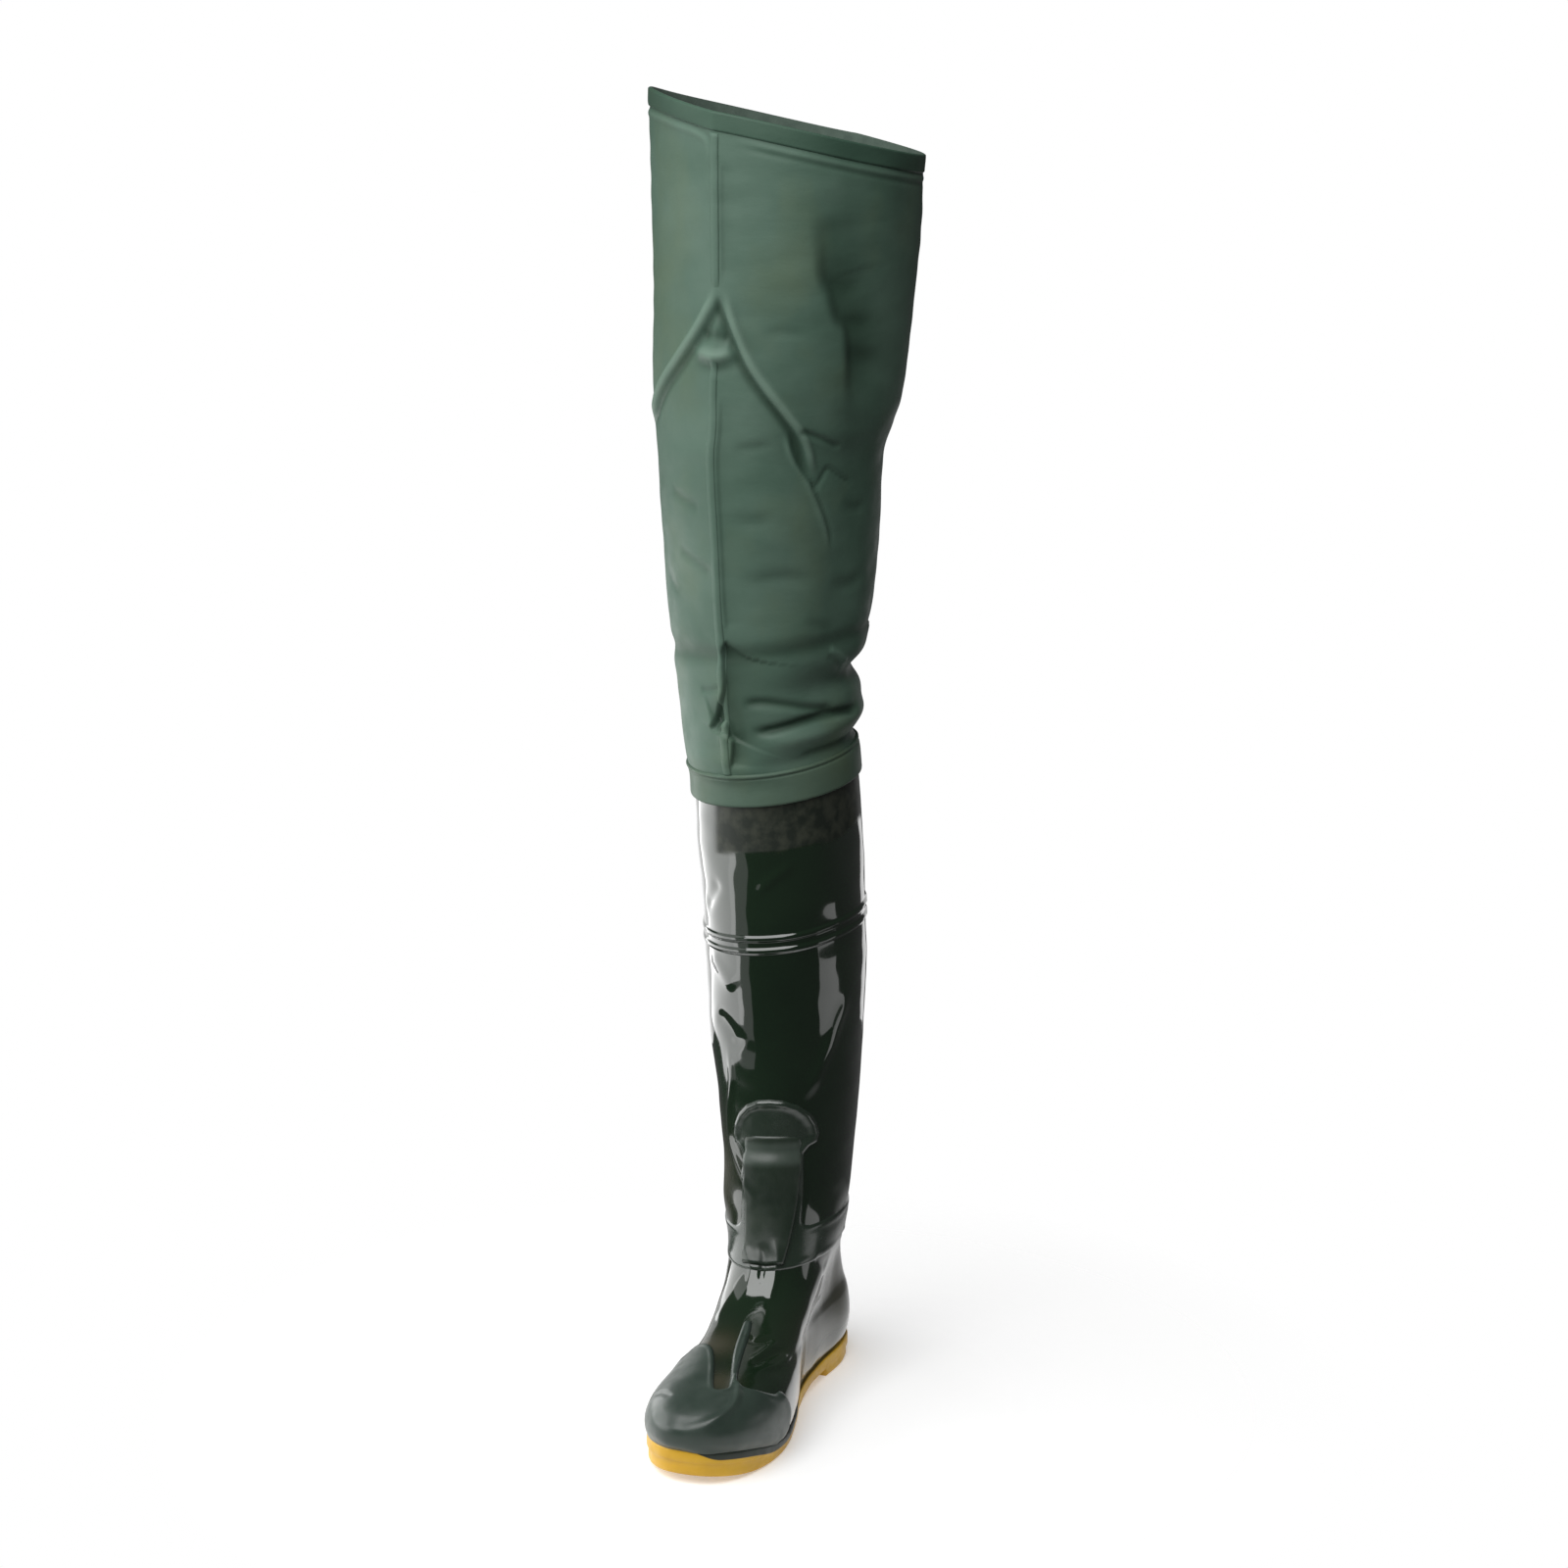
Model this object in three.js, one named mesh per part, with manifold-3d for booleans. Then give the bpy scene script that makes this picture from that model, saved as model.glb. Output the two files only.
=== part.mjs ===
// Thigh boot for the right foot: a glossy moulded rubber boot to just below the knee, on a yellow
// outsole, with a coated-fabric leg welded to its rim that reaches up the thigh. It stands on its sole.
// Millimetres, +Z up. The toe points to -Y and the inner (medial) side is +X. The origin is on the
// ground, at the middle of the heel's flat.
import * as THREE from "three";
import { mergeVertices } from "three/addons/utils/BufferGeometryUtils.js";
import Module from "manifold-3d";

const wasm = await Module();
wasm.setup();

// Driving sizes of the foot
const SOLE_LENGTH = 294;
const BALL_WIDTH = 103;
const TOE_SWING = 4; // how far the toe tip lies to the medial side
const ANKLE_HEIGHT = 142; // where the foot ends and the shaft begins

// Driving sizes of the shaft and of the fabric leg
const SHAFT_WIDTH = 110;
const BOOT_HEIGHT = 460; // to the rubber rim, which the fabric covers
const LEG_OVERLAP = 15; // how far the fabric reaches down over the rim
const RIM_SLANT = 3.5; // the rim stands this much higher at its medial side than at its middle
const RIM_DIP = 6; // and this much lower at its front
const LEG_WIDTH = 192; // across the thigh opening
const THIGH_HEIGHT = 912; // middle of the collar
const COLLAR_SLANT = 22; // the collar rises by this at its lateral side, and drops by it medially
const COLLAR_PEAK = 3; // its lateral corner rises by this much more
const COLLAR_FACING = 27; // the slant lies this many degrees round from straight across
const LATERAL_LEAN = 19; // how far the knee stands out to the lateral side of the heel

// Walls, overlays and clearances
const RUBBER_WALL = 2.6;
const LEG_WALL = 0.9;
const TRIM_WALL = 1.1;
const GUARD_WALL = 1.5;
const PLATE_WALL = 3;
const CLEARANCE = 0.3;

// Outsole and insole
const HEEL_EDGE = 18; // height of the outsole's upper edge at the back of the heel
const TREAD_DEPTH = 3.4;
const TREAD_WIDTH = 3.2;
const SOLE_FLANGE = 2; // how far the outsole stands out past the upper
const SOLE_STEP = 1.2; // the lower part of the outsole's side is set back by this
const ARCH_HEIGHT = 6.5;
const INSOLE_THICKNESS = 3;
const INSOLE_INSET = 6; // from the inside of the upper's wall
const BED_SLOPE = 4; // how far in the slope from the outsole's edge to its bed reaches
const SOLE_BEVEL = 1; // of the lower edge of the outsole's side
const EDGE_BEVEL = 0.7; // of its upper edge
const GROOVE_DRAFT = 0.4; // a groove is this much wider on each side where it opens

// How the surfaces swell
const END_POWER = 0.8; // how blunt the foot outline's round ends are
const OVAL_POWER = 0.94; // how full the shaft's and the leg's ovals are
const CREASE_POWER = 7; // how narrow the leg's pressed front and back creases are
const FOOT_LEAN = 0.1; // the share of the lateral lean that the foot's upper part has
const COLLAR_START = 0.35; // the collar's slant starts at this share of the fabric leg
const TILT_END = 0.4; // and the rim's tilt has faded out at this one
const FOLD_START = 0.04; // the folds have their full depth from this one up

// Trim
const KNEE_BAND_HEIGHT = 24;
const HEM_HEIGHT = 13;
const SEAM_WIDTH = 7;
const RIB_DROP = 116; // how far the middle of the shaft's two ribs lies below the rim
const RIB_SPACING = 9;
const RIB_WIDTH = 4.4;
const RIB_RISE = 1.4;
const RIB_FLAT = 0.4; // the share of a rib's width that is flat
const RIB_LEVEL = BOOT_HEIGHT - RIB_DROP;
const GUARD_MIDDLE = 4; // how far the middle of the ankle's guards lies to the medial side

const RUBBER_GREEN = new THREE.MeshStandardMaterial({ color: 0x16281c, roughness: 0.12 });
const GUARD_GREEN = new THREE.MeshStandardMaterial({ color: 0x34413a, roughness: 0.45 });
const PLATE_GREEN = new THREE.MeshStandardMaterial({ color: 0x2c3a30, roughness: 0.4 });
const TOE_GREEN = new THREE.MeshStandardMaterial({ color: 0x38453d, roughness: 0.5 });
const FABRIC_GREEN = new THREE.MeshStandardMaterial({ color: 0x4c6a5c, roughness: 0.5 });
const BAND_GREEN = new THREE.MeshStandardMaterial({ color: 0x48655a, roughness: 0.5 });
const HEM_GREEN = new THREE.MeshStandardMaterial({ color: 0x35503f, roughness: 0.5 });
const SEAM_GREEN = new THREE.MeshStandardMaterial({ color: 0x557363, roughness: 0.45 });
const SOLE_YELLOW = new THREE.MeshStandardMaterial({ color: 0xe2ac1e, roughness: 0.5 });
const INSOLE_GREY = new THREE.MeshStandardMaterial({ color: 0x6d6f6a, roughness: 0.9 });

// Foot outline, from the back of the heel (at 0) to the toe tip (at 1): half widths as shares of half
// the ball width, before the outline's round ends are taken off.
const OUTLINE = [
  { at: 0.0, medial: 1.06, lateral: 1.02 },
  { at: 0.12, medial: 0.94, lateral: 0.98 },
  { at: 0.28, medial: 0.7, lateral: 0.88 },
  { at: 0.45, medial: 0.66, lateral: 0.88 },
  { at: 0.62, medial: 0.9, lateral: 0.92 },
  { at: 0.74, medial: 1.06, lateral: 1.04 },
  { at: 0.88, medial: 1.14, lateral: 1.14 },
  { at: 1.0, medial: 1.16, lateral: 1.12 },
];

// Heights of the outsole along its length, as shares of the heel's edge: its upper edge, the bed
// inside it, and its underside, which lies on the ground where it is 0.
const SOLE_HEIGHTS = [
  { at: 0.0, edge: 1.0, bed: 0.8, under: 0.0 },
  { at: 0.2, edge: 0.94, bed: 0.78, under: 0.0 },
  { at: 0.38, edge: 0.84, bed: 0.72, under: 0.0 },
  { at: 0.55, edge: 0.64, bed: 0.56, under: 0.0 },
  { at: 0.68, edge: 0.58, bed: 0.5, under: 0.0 },
  { at: 0.8, edge: 0.76, bed: 0.52, under: 0.02 },
  { at: 0.9, edge: 1.15, bed: 0.64, under: 0.12 },
  { at: 1.0, edge: 1.45, bed: 0.85, under: 0.4 },
];

// Sections of the foot, from the line where it meets the outsole up to the ankle. front and back are
// reaches from the origin as shares of the sole length, medial and lateral are shares of half the ball
// width, toeUp and heelUp are shares of the way from the outsole's edge up to the ankle. wave keeps
// the rise and fall of that edge, and oval turns the foot outline into a plain oval.
const FOOT_SECTIONS = [
  { front: 0.853, back: 0.126, medial: 0.97, lateral: 0.92, toeUp: 0, heelUp: 0, wave: 1, oval: 0 },
  { front: 0.861, back: 0.134, medial: 1.03, lateral: 0.945, toeUp: 0.063, heelUp: 0.061, wave: 0.95, oval: 0 },
  { front: 0.858, back: 0.14, medial: 1.05, lateral: 0.93, toeUp: 0.13, heelUp: 0.13, wave: 0.8, oval: 0 },
  { front: 0.837, back: 0.144, medial: 1.03, lateral: 0.85, toeUp: 0.198, heelUp: 0.198, wave: 0.6, oval: 0.05 },
  { front: 0.79, back: 0.144, medial: 0.97, lateral: 0.71, toeUp: 0.253, heelUp: 0.279, wave: 0.45, oval: 0.12 },
  { front: 0.71, back: 0.141, medial: 0.87, lateral: 0.6, toeUp: 0.283, heelUp: 0.364, wave: 0.3, oval: 0.25 },
  { front: 0.6, back: 0.137, medial: 0.81, lateral: 0.55, toeUp: 0.326, heelUp: 0.462, wave: 0.15, oval: 0.45 },
  { front: 0.48, back: 0.133, medial: 0.77, lateral: 0.59, toeUp: 0.4, heelUp: 0.576, wave: 0, oval: 0.65 },
  { front: 0.378, back: 0.13, medial: 0.76, lateral: 0.64, toeUp: 0.522, heelUp: 0.702, wave: 0, oval: 0.85 },
  { front: 0.313, back: 0.136, medial: 0.78, lateral: 0.72, toeUp: 0.737, heelUp: 0.84, wave: 0, oval: 1 },
];

// Sections of the shaft, from the ankle up to the rim. Reaches are shares of the shaft width, height
// is the share of the way from the ankle to the rim, shift is how far the section stands to the
// lateral side as a share of the lean, and turn is in degrees towards the lateral side.
const SHAFT_SECTIONS = [
  { height: 0.0, front: 0.745, back: 0.4, medial: 0.4, lateral: 0.375, shift: 0.15, turn: 4 },
  { height: 0.1, front: 0.715, back: 0.425, medial: 0.42, lateral: 0.39, shift: 0.18, turn: 5 },
  { height: 0.2, front: 0.71, back: 0.45, medial: 0.44, lateral: 0.405, shift: 0.2, turn: 6 },
  { height: 0.35, front: 0.715, back: 0.475, medial: 0.485, lateral: 0.445, shift: 0.24, turn: 7 },
  { height: 0.51, front: 0.725, back: 0.495, medial: 0.51, lateral: 0.485, shift: 0.31, turn: 7 },
  { height: 0.67, front: 0.73, back: 0.505, medial: 0.515, lateral: 0.495, shift: 0.42, turn: 6 },
  { height: 0.83, front: 0.73, back: 0.51, medial: 0.525, lateral: 0.505, shift: 0.6, turn: 6 },
  { height: 1.0, front: 0.73, back: 0.51, medial: 0.52, lateral: 0.5, shift: 0.82, turn: 5 },
];

// Sections of the fabric leg above the rim. Reaches are shares of the width of the thigh opening,
// height is the share of the way from the rim to the collar, and crease is how sharply the front and
// the back are pressed, as a share of the same width.
const LEG_SECTIONS = [
  { height: 0.026, front: 0.44, back: 0.315, side: 0.3, shift: 0.9, turn: 5, crease: 0.012 },
  { height: 0.064, front: 0.447, back: 0.322, side: 0.31, shift: 0.93, turn: 5, crease: 0.016 },
  { height: 0.142, front: 0.458, back: 0.342, side: 0.335, shift: 0.96, turn: 5, crease: 0.02 },
  { height: 0.219, front: 0.472, back: 0.358, side: 0.357, shift: 0.95, turn: 5, crease: 0.024 },
  { height: 0.274, front: 0.484, back: 0.379, side: 0.37, shift: 0.98, turn: 5, crease: 0.028 },
  { height: 0.387, front: 0.508, back: 0.416, side: 0.386, shift: 0.98, turn: 5, crease: 0.03 },
  { height: 0.498, front: 0.524, back: 0.442, side: 0.402, shift: 1.02, turn: 5, crease: 0.032 },
  { height: 0.553, front: 0.532, back: 0.455, side: 0.428, shift: 0.88, turn: 5, crease: 0.034 },
  { height: 0.608, front: 0.54, back: 0.468, side: 0.446, shift: 0.74, turn: 6, crease: 0.035 },
  { height: 0.719, front: 0.55, back: 0.489, side: 0.462, shift: 0.58, turn: 6, crease: 0.036 },
  { height: 0.885, front: 0.553, back: 0.5, side: 0.478, shift: 0.44, turn: 7, crease: 0.038 },
  { height: 1.0, front: 0.555, back: 0.5, side: 0.482, shift: 0.42, turn: 7, crease: 0.04 },
];

// The large folds where the fabric bunches above the knee band: height as the share of the way from
// rim to collar, depth and reach as shares of the thigh width, and the middle and the half span of
// the fold round the leg in degrees from the front towards the medial side.
const FOLDS = [
  { height: 0.142, depth: 0.05, reach: 0.055, middle: 115, span: 110 },
  { height: 0.068, depth: -0.02, reach: 0.04, middle: 100, span: 105 },
  { height: 0.03, depth: 0.018, reach: 0.03, middle: 105, span: 105 },
];

// The shin guard's panel, seen from the front: half widths either side of its middle as shares of the
// shaft width, and heights as shares of the ankle height.
const SHIN_PANEL = [
  { half: 0.191, height: 0.775 },
  { half: 0.191, height: 1.296 },
  { half: 0.241, height: 1.324 },
  { half: 0.259, height: 1.387 },
  { half: 0.236, height: 1.458 },
  { half: 0.186, height: 1.521 },
  { half: 0.1, height: 1.574 },
];
const ANKLE_BAND = { low: 0.711, high: 0.894 }; // the guard goes on round the ankle as a band

// The thick plate on the shin guard, seen from the front in the same way.
const INSTEP_PLATE = [
  { half: 0.127, height: 0.732 },
  { half: 0.159, height: 1.056 },
  { half: 0.182, height: 1.338 },
  { half: 0.127, height: 1.38 },
];

// The toe guard, seen from the top: round the toe from the medial edge of its lobe, up its narrow
// medial wing, round the keyhole notch between the wings, and over the broad lateral wing. medial is a
// share of half the ball width, ahead a share of the sole length.
const TOE_GUARD = [
  { medial: 1.2, ahead: 0.578 },
  { medial: 0.97, ahead: 0.605 },
  { medial: 0.93, ahead: 0.639 },
  { medial: 0.835, ahead: 0.67 },
  { medial: 0.7, ahead: 0.69 },
  { medial: 0.563, ahead: 0.694 },
  { medial: 0.466, ahead: 0.67 },
  { medial: 0.35, ahead: 0.585 },
  { medial: 0.214, ahead: 0.452 },
  { medial: 0.097, ahead: 0.449 },
  { medial: 0.175, ahead: 0.561 },
  { medial: 0.408, ahead: 0.701 },
  { medial: 0.388, ahead: 0.728 },
  { medial: 0.291, ahead: 0.735 },
  { medial: 0.214, ahead: 0.711 },
  { medial: 0.039, ahead: 0.626 },
  { medial: -0.155, ahead: 0.558 },
  { medial: -0.466, ahead: 0.537 },
  { medial: -1.2, ahead: 0.565 },
  { medial: -1.2, ahead: 1 },
  { medial: 1.2, ahead: 1 },
];

// The outsole's side, from below: out is the ring's place past the upper, up the share of the side's
// height. The side is stepped between its lower and its upper half.
const SOLE_SIDE = [
  { out: SOLE_FLANGE - SOLE_STEP - SOLE_BEVEL, up: 0 },
  { out: SOLE_FLANGE - SOLE_STEP, up: 0.14 },
  { out: SOLE_FLANGE - SOLE_STEP, up: 0.52 },
  { out: SOLE_FLANGE, up: 0.6 },
  { out: SOLE_FLANGE, up: 0.93 },
  { out: SOLE_FLANGE - EDGE_BEVEL, up: 1 },
];

// Under the outsole: places from the origin towards the toe, as shares of the sole length.
const HEEL_GROOVES = [-0.085, -0.037, 0.037, 0.085];
const BALL_GROOVES = { from: 0.381, to: 0.762, count: 9 };
const HEEL_BREAST = 0.12;
const ARCH_END = 0.354;

// The arch: ahead is the share of the way from the heel's breast to the arch's end, up the share of
// its height.
const ARCH = [
  { ahead: 0, up: 0 },
  { ahead: 0.03, up: 1 },
  { ahead: 0.45, up: 1 },
  { ahead: 0.75, up: 0.5 },
  { ahead: 1, up: 0 },
];

const radians = (degrees) => (degrees * Math.PI) / 180;
const mix = (a, b, t) => a + (b - a) * t;
const clamp01 = (t) => Math.min(1, Math.max(0, t));
const smooth = (t) => clamp01(t) ** 2 * (3 - 2 * clamp01(t));
const spread = (from, to, count) => Array.from({ length: count + 1 }, (_, i) => mix(from, to, i / count));

// A smooth curve through the named column of a table, at a place counted in rows.
function column(table, name, place) {
  const last = table.length - 1;
  const row = Math.min(last - 1, Math.max(0, Math.floor(place)));
  const t = place - row;
  const b = table[row][name];
  const c = table[row + 1][name];
  const a = row > 0 ? table[row - 1][name] : 2 * b - c;
  const d = row + 2 <= last ? table[row + 2][name] : 2 * c - b;
  return b + 0.5 * t * (c - a + t * (2 * a - 5 * b + 4 * c - d + t * (3 * (b - c) + d - a)));
}

// The same curve, looked up by the value of a column that rises evenly from row to row.
function lookUp(table, key, value, name) {
  let row = 0;
  while (row < table.length - 2 && table[row + 1][key] < value) row += 1;
  const t = (value - table[row][key]) / (table[row + 1][key] - table[row][key]);
  return column(table, name, row + t);
}

// The place, in rows, at which a rising column has a value.
function placeOf(table, key, value) {
  let low = 0;
  let high = table.length - 1;
  for (let i = 0; i < 40; i += 1) {
    const middle = (low + high) / 2;
    if (column(table, key, middle) < value) low = middle;
    else high = middle;
  }
  return (low + high) / 2;
}

// Heights of the outsole at a share of its length, never below the ground.
const soleHeight = (share, name) => HEEL_EDGE * Math.max(0, lookUp(SOLE_HEIGHTS, "at", share, name));

// Half width of the foot outline at a share of its length, as a share of half the ball width.
function outlineWidth(share, side) {
  const ends = (2 * Math.sqrt(Math.max(0, share * (1 - share)))) ** END_POWER;
  return ends * lookUp(OUTLINE, "at", share, side);
}

// All sections of the rubber boot in millimetres, first the foot and then the shaft.
const UPPER = [
  ...FOOT_SECTIONS.map((s) => ({
    front: s.front * SOLE_LENGTH,
    back: s.back * SOLE_LENGTH,
    medial: (s.medial * BALL_WIDTH) / 2,
    lateral: (s.lateral * BALL_WIDTH) / 2,
    frontZ: mix(soleHeight(1, "edge"), ANKLE_HEIGHT, s.toeUp),
    backZ: mix(soleHeight(0, "edge"), ANKLE_HEIGHT, s.heelUp),
    wave: s.wave,
    oval: s.oval,
    turn: 0,
    shift: FOOT_LEAN * s.oval * LATERAL_LEAN,
    swing: (1 - s.oval) * TOE_SWING,
  })),
  ...SHAFT_SECTIONS.map((s) => ({
    front: s.front * SHAFT_WIDTH,
    back: s.back * SHAFT_WIDTH,
    medial: s.medial * SHAFT_WIDTH,
    lateral: s.lateral * SHAFT_WIDTH,
    frontZ: mix(ANKLE_HEIGHT, BOOT_HEIGHT, s.height),
    backZ: mix(ANKLE_HEIGHT, BOOT_HEIGHT, s.height),
    wave: 0,
    oval: 1,
    turn: s.turn,
    shift: s.shift * LATERAL_LEAN,
    swing: 0,
  })),
];
const RIM = UPPER.length - 1;

// How far the slanted rim stands above or below its middle.
const rimTilt = (angle) => RIM_SLANT * Math.sin(angle) - RIM_DIP * Math.cos(angle);

// A point of the rubber boot's outer surface: place along the sections, angle round from the front
// (0) by the medial side (a quarter turn) to the back.
function upperPoint(place, angle) {
  const get = (name) => column(UPPER, name, place);
  const share = (1 + Math.cos(angle)) / 2;
  const side = Math.sin(angle) >= 0 ? "medial" : "lateral";
  const round = Math.abs(Math.sin(angle)) ** OVAL_POWER;
  const width = get(side) * mix(outlineWidth(share, side), round, clamp01(get("oval")));
  const x = Math.sign(Math.sin(angle)) * width + get("swing") * smooth((share - 0.5) * 2);
  const y = get("back") - (get("front") + get("back")) * share;
  const wave = soleHeight(share, "edge") - mix(soleHeight(0, "edge"), soleHeight(1, "edge"), share);
  const turn = radians(get("turn"));
  const z = mix(get("backZ"), get("frontZ"), share) + get("wave") * wave;
  return new THREE.Vector3(
    x * Math.cos(turn) + y * Math.sin(turn) - get("shift"),
    -x * Math.sin(turn) + y * Math.cos(turn),
    z + smooth((2 * z) / RIB_LEVEL - 1) * rimTilt(angle),
  );
}

// The fabric leg's sections in millimetres. The first two are the rubber rim's own, made wider, so
// that the leg fits round it.
function rimSection(z) {
  const place = placeOf(UPPER, "frontZ", z);
  const get = (name) => column(UPPER, name, place);
  const wider = (name) => get(name) + 2 * CLEARANCE + LEG_WALL;
  return {
    z,
    front: wider("front"),
    back: wider("back"),
    medial: wider("medial"),
    lateral: wider("lateral"),
    shift: get("shift"),
    turn: get("turn"),
    crease: 0,
  };
}
const LEG = [
  rimSection(BOOT_HEIGHT - LEG_OVERLAP),
  rimSection(BOOT_HEIGHT),
  ...LEG_SECTIONS.map((s) => ({
    z: mix(BOOT_HEIGHT, THIGH_HEIGHT, s.height),
    front: s.front * LEG_WIDTH,
    back: s.back * LEG_WIDTH,
    medial: s.side * LEG_WIDTH,
    lateral: s.side * LEG_WIDTH,
    shift: s.shift * LATERAL_LEAN,
    turn: s.turn,
    crease: s.crease * LEG_WIDTH,
  })),
];
const COLLAR = LEG.length - 1;

// How far the folds push a point of the leg inwards.
function foldDepth(up, angle) {
  const degrees = (angle * 180) / Math.PI;
  let depth = 0;
  for (const fold of FOLDS) {
    const away = Math.abs(((degrees - fold.middle + 540) % 360) - 180) / fold.span;
    if (away >= 1) continue;
    const across = ((up - fold.height) * (THIGH_HEIGHT - BOOT_HEIGHT)) / (fold.reach * LEG_WIDTH);
    depth += fold.depth * LEG_WIDTH * Math.exp(-across * across) * (1 - away * away) ** 2;
  }
  return depth * smooth(up / FOLD_START);
}

// A point of the fabric leg's outer surface.
function legPoint(place, angle) {
  const get = (name) => column(LEG, name, place);
  const share = (1 + Math.cos(angle)) / 2;
  const side = Math.sin(angle) >= 0 ? "medial" : "lateral";
  const z = get("z");
  const up = (z - BOOT_HEIGHT) / (THIGH_HEIGHT - BOOT_HEIGHT);
  const front = Math.exp(-Math.abs(Math.sin(angle / 2)) * CREASE_POWER);
  const back = Math.exp(-Math.abs(Math.cos(angle / 2)) * CREASE_POWER);
  const depth = foldDepth(up, angle);
  const width = get(side) * Math.abs(Math.sin(angle)) ** OVAL_POWER;
  const x = Math.sign(Math.sin(angle)) * width - Math.sin(angle) * depth;
  const reach = get("back") - (get("front") + get("back")) * share;
  const y = reach + Math.cos(angle) * depth + get("crease") * (back - front);
  const turn = radians(get("turn"));
  const lean = Math.sin(angle - turn - radians(COLLAR_FACING));
  const rise = COLLAR_PEAK * Math.max(0, -lean) ** 6 - COLLAR_SLANT * lean;
  const slanted = smooth((up - COLLAR_START) / (1 - COLLAR_START));
  const tilted = 1 - smooth(up / TILT_END);
  return new THREE.Vector3(
    x * Math.cos(turn) + y * Math.sin(turn) - get("shift"),
    -x * Math.sin(turn) + y * Math.cos(turn),
    z + slanted * rise + tilted * rimTilt(angle),
  );
}

// A surface's point moved out along the surface's normal.
function offset(surface, place, angle, distance) {
  const point = surface(place, angle);
  if (!distance) return point;
  const step = 0.02;
  const along = surface(place + step, angle).sub(surface(place - step, angle));
  const round = surface(place, angle + step).sub(surface(place, angle - step));
  return point.addScaledVector(round.cross(along).normalize(), distance);
}

// The angles of the columns: those of the boot follow the stations along the foot outline, those of
// the leg are even, with two more beside the front crease.
const STATIONS = [
  0.992, 0.972, 0.943, 0.905, 0.86, 0.805, 0.745, 0.68, 0.61, 0.535, 0.46, 0.385, 0.31, 0.235, 0.165,
  0.1, 0.045, 0.012,
];
const halfTurn = STATIONS.map((share) => Math.acos(2 * share - 1));
const bothSides = (half) => [0, ...half, Math.PI, ...half.map((a) => -a).reverse()];
const BOOT_ANGLES = bothSides(halfTurn);
const LEG_ANGLES = bothSides([radians(3.5), ...spread(radians(11), radians(170), 16)]);

const ring = (surface, place, distance, angles) =>
  angles.map((angle) => offset(surface, place, angle, distance));

// One closed body from a stack of rings, each a loop of the same angles. With its ends closed, a
// ladder of faces joins the two sides of the first and of the last ring; with its ends open, the last
// ring joins the first. From the row named by turned on, the faces are split along their other
// diagonal, so that both sides of a wall are split alike.
function stack(rows, closedEnds, turned = rows.length) {
  const cols = rows[0].length;
  const faces = [];
  const id = (i, j) => (i % rows.length) * cols + ((j + cols) % cols);
  for (let i = 0; i < rows.length - (closedEnds ? 1 : 0); i += 1) {
    for (let j = 0; j < cols; j += 1) {
      const [a, b, c, d] = [id(i, j), id(i, j + 1), id(i + 1, j + 1), id(i + 1, j)];
      if (i < turned) faces.push(a, b, c, a, c, d);
      else faces.push(a, b, d, b, c, d);
    }
  }
  if (closedEnds) {
    const top = rows.length - 1;
    for (let j = 0; j < cols / 2; j += 1) {
      const tip = j === 0;
      const heel = j === cols / 2 - 1;
      const lower = [id(0, j), id(0, -j), id(0, -j - 1), id(0, j + 1)];
      const upper = [id(top, j), id(top, j + 1), id(top, -j - 1), id(top, -j)];
      if (!tip) faces.push(lower[0], lower[1], lower[2]);
      if (!heel) faces.push(lower[0], lower[2], lower[3]);
      if (!heel) faces.push(upper[0], upper[1], upper[2]);
      if (!tip) faces.push(upper[0], upper[2], upper[3]);
    }
  }
  const geometry = new THREE.BufferGeometry();
  const positions = rows.flat().flatMap((p) => [p.x, p.y, p.z]);
  geometry.setAttribute("position", new THREE.Float32BufferAttribute(positions, 3));
  geometry.setIndex(faces);
  return geometry;
}

// A geometry as a manifold-3d solid, and back.
function toSolid(geometry) {
  const plain = geometry.clone();
  plain.deleteAttribute("normal");
  plain.deleteAttribute("uv");
  const merged = mergeVertices(plain, 1e-4);
  return new wasm.Manifold(
    new wasm.Mesh({
      numProp: 3,
      vertProperties: merged.attributes.position.array,
      triVerts: new Uint32Array(merged.index.array),
    }),
  );
}
function toGeometry(solid) {
  const mesh = solid.getMesh();
  const geometry = new THREE.BufferGeometry();
  const points = new Float32Array(mesh.numVert * 3);
  for (let i = 0; i < mesh.numVert; i += 1) {
    points.set(mesh.vertProperties.subarray(i * mesh.numProp, i * mesh.numProp + 3), i * 3);
  }
  geometry.setAttribute("position", new THREE.BufferAttribute(points, 3));
  geometry.setIndex(new THREE.BufferAttribute(mesh.triVerts, 1));
  return geometry;
}

// A wall between an outer and an inner stack of rings.
const wall = (outer, inner) => stack([...outer, ...inner.slice().reverse()], false, outer.length);

// A straight cutter with the outline of a list of [across, along] pairs. It runs along Y for an
// outline seen from the front, along X for one seen from the side, and along Z for one seen from the top.
function cutter(outline, seenFrom, from, to) {
  const shape = new THREE.Shape(outline.map(([a, b]) => new THREE.Vector2(a, b)));
  const geometry = new THREE.ExtrudeGeometry(shape, { depth: to - from, bevelEnabled: false });
  geometry.translate(0, 0, from);
  const axes = {
    front: [new THREE.Vector3(1, 0, 0), new THREE.Vector3(0, 0, 1), new THREE.Vector3(0, -1, 0)],
    side: [new THREE.Vector3(0, 1, 0), new THREE.Vector3(0, 0, 1), new THREE.Vector3(1, 0, 0)],
    top: [new THREE.Vector3(1, 0, 0), new THREE.Vector3(0, 1, 0), new THREE.Vector3(0, 0, 1)],
  };
  geometry.applyMatrix4(new THREE.Matrix4().makeBasis(...axes[seenFrom]));
  return toSolid(geometry);
}

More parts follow.
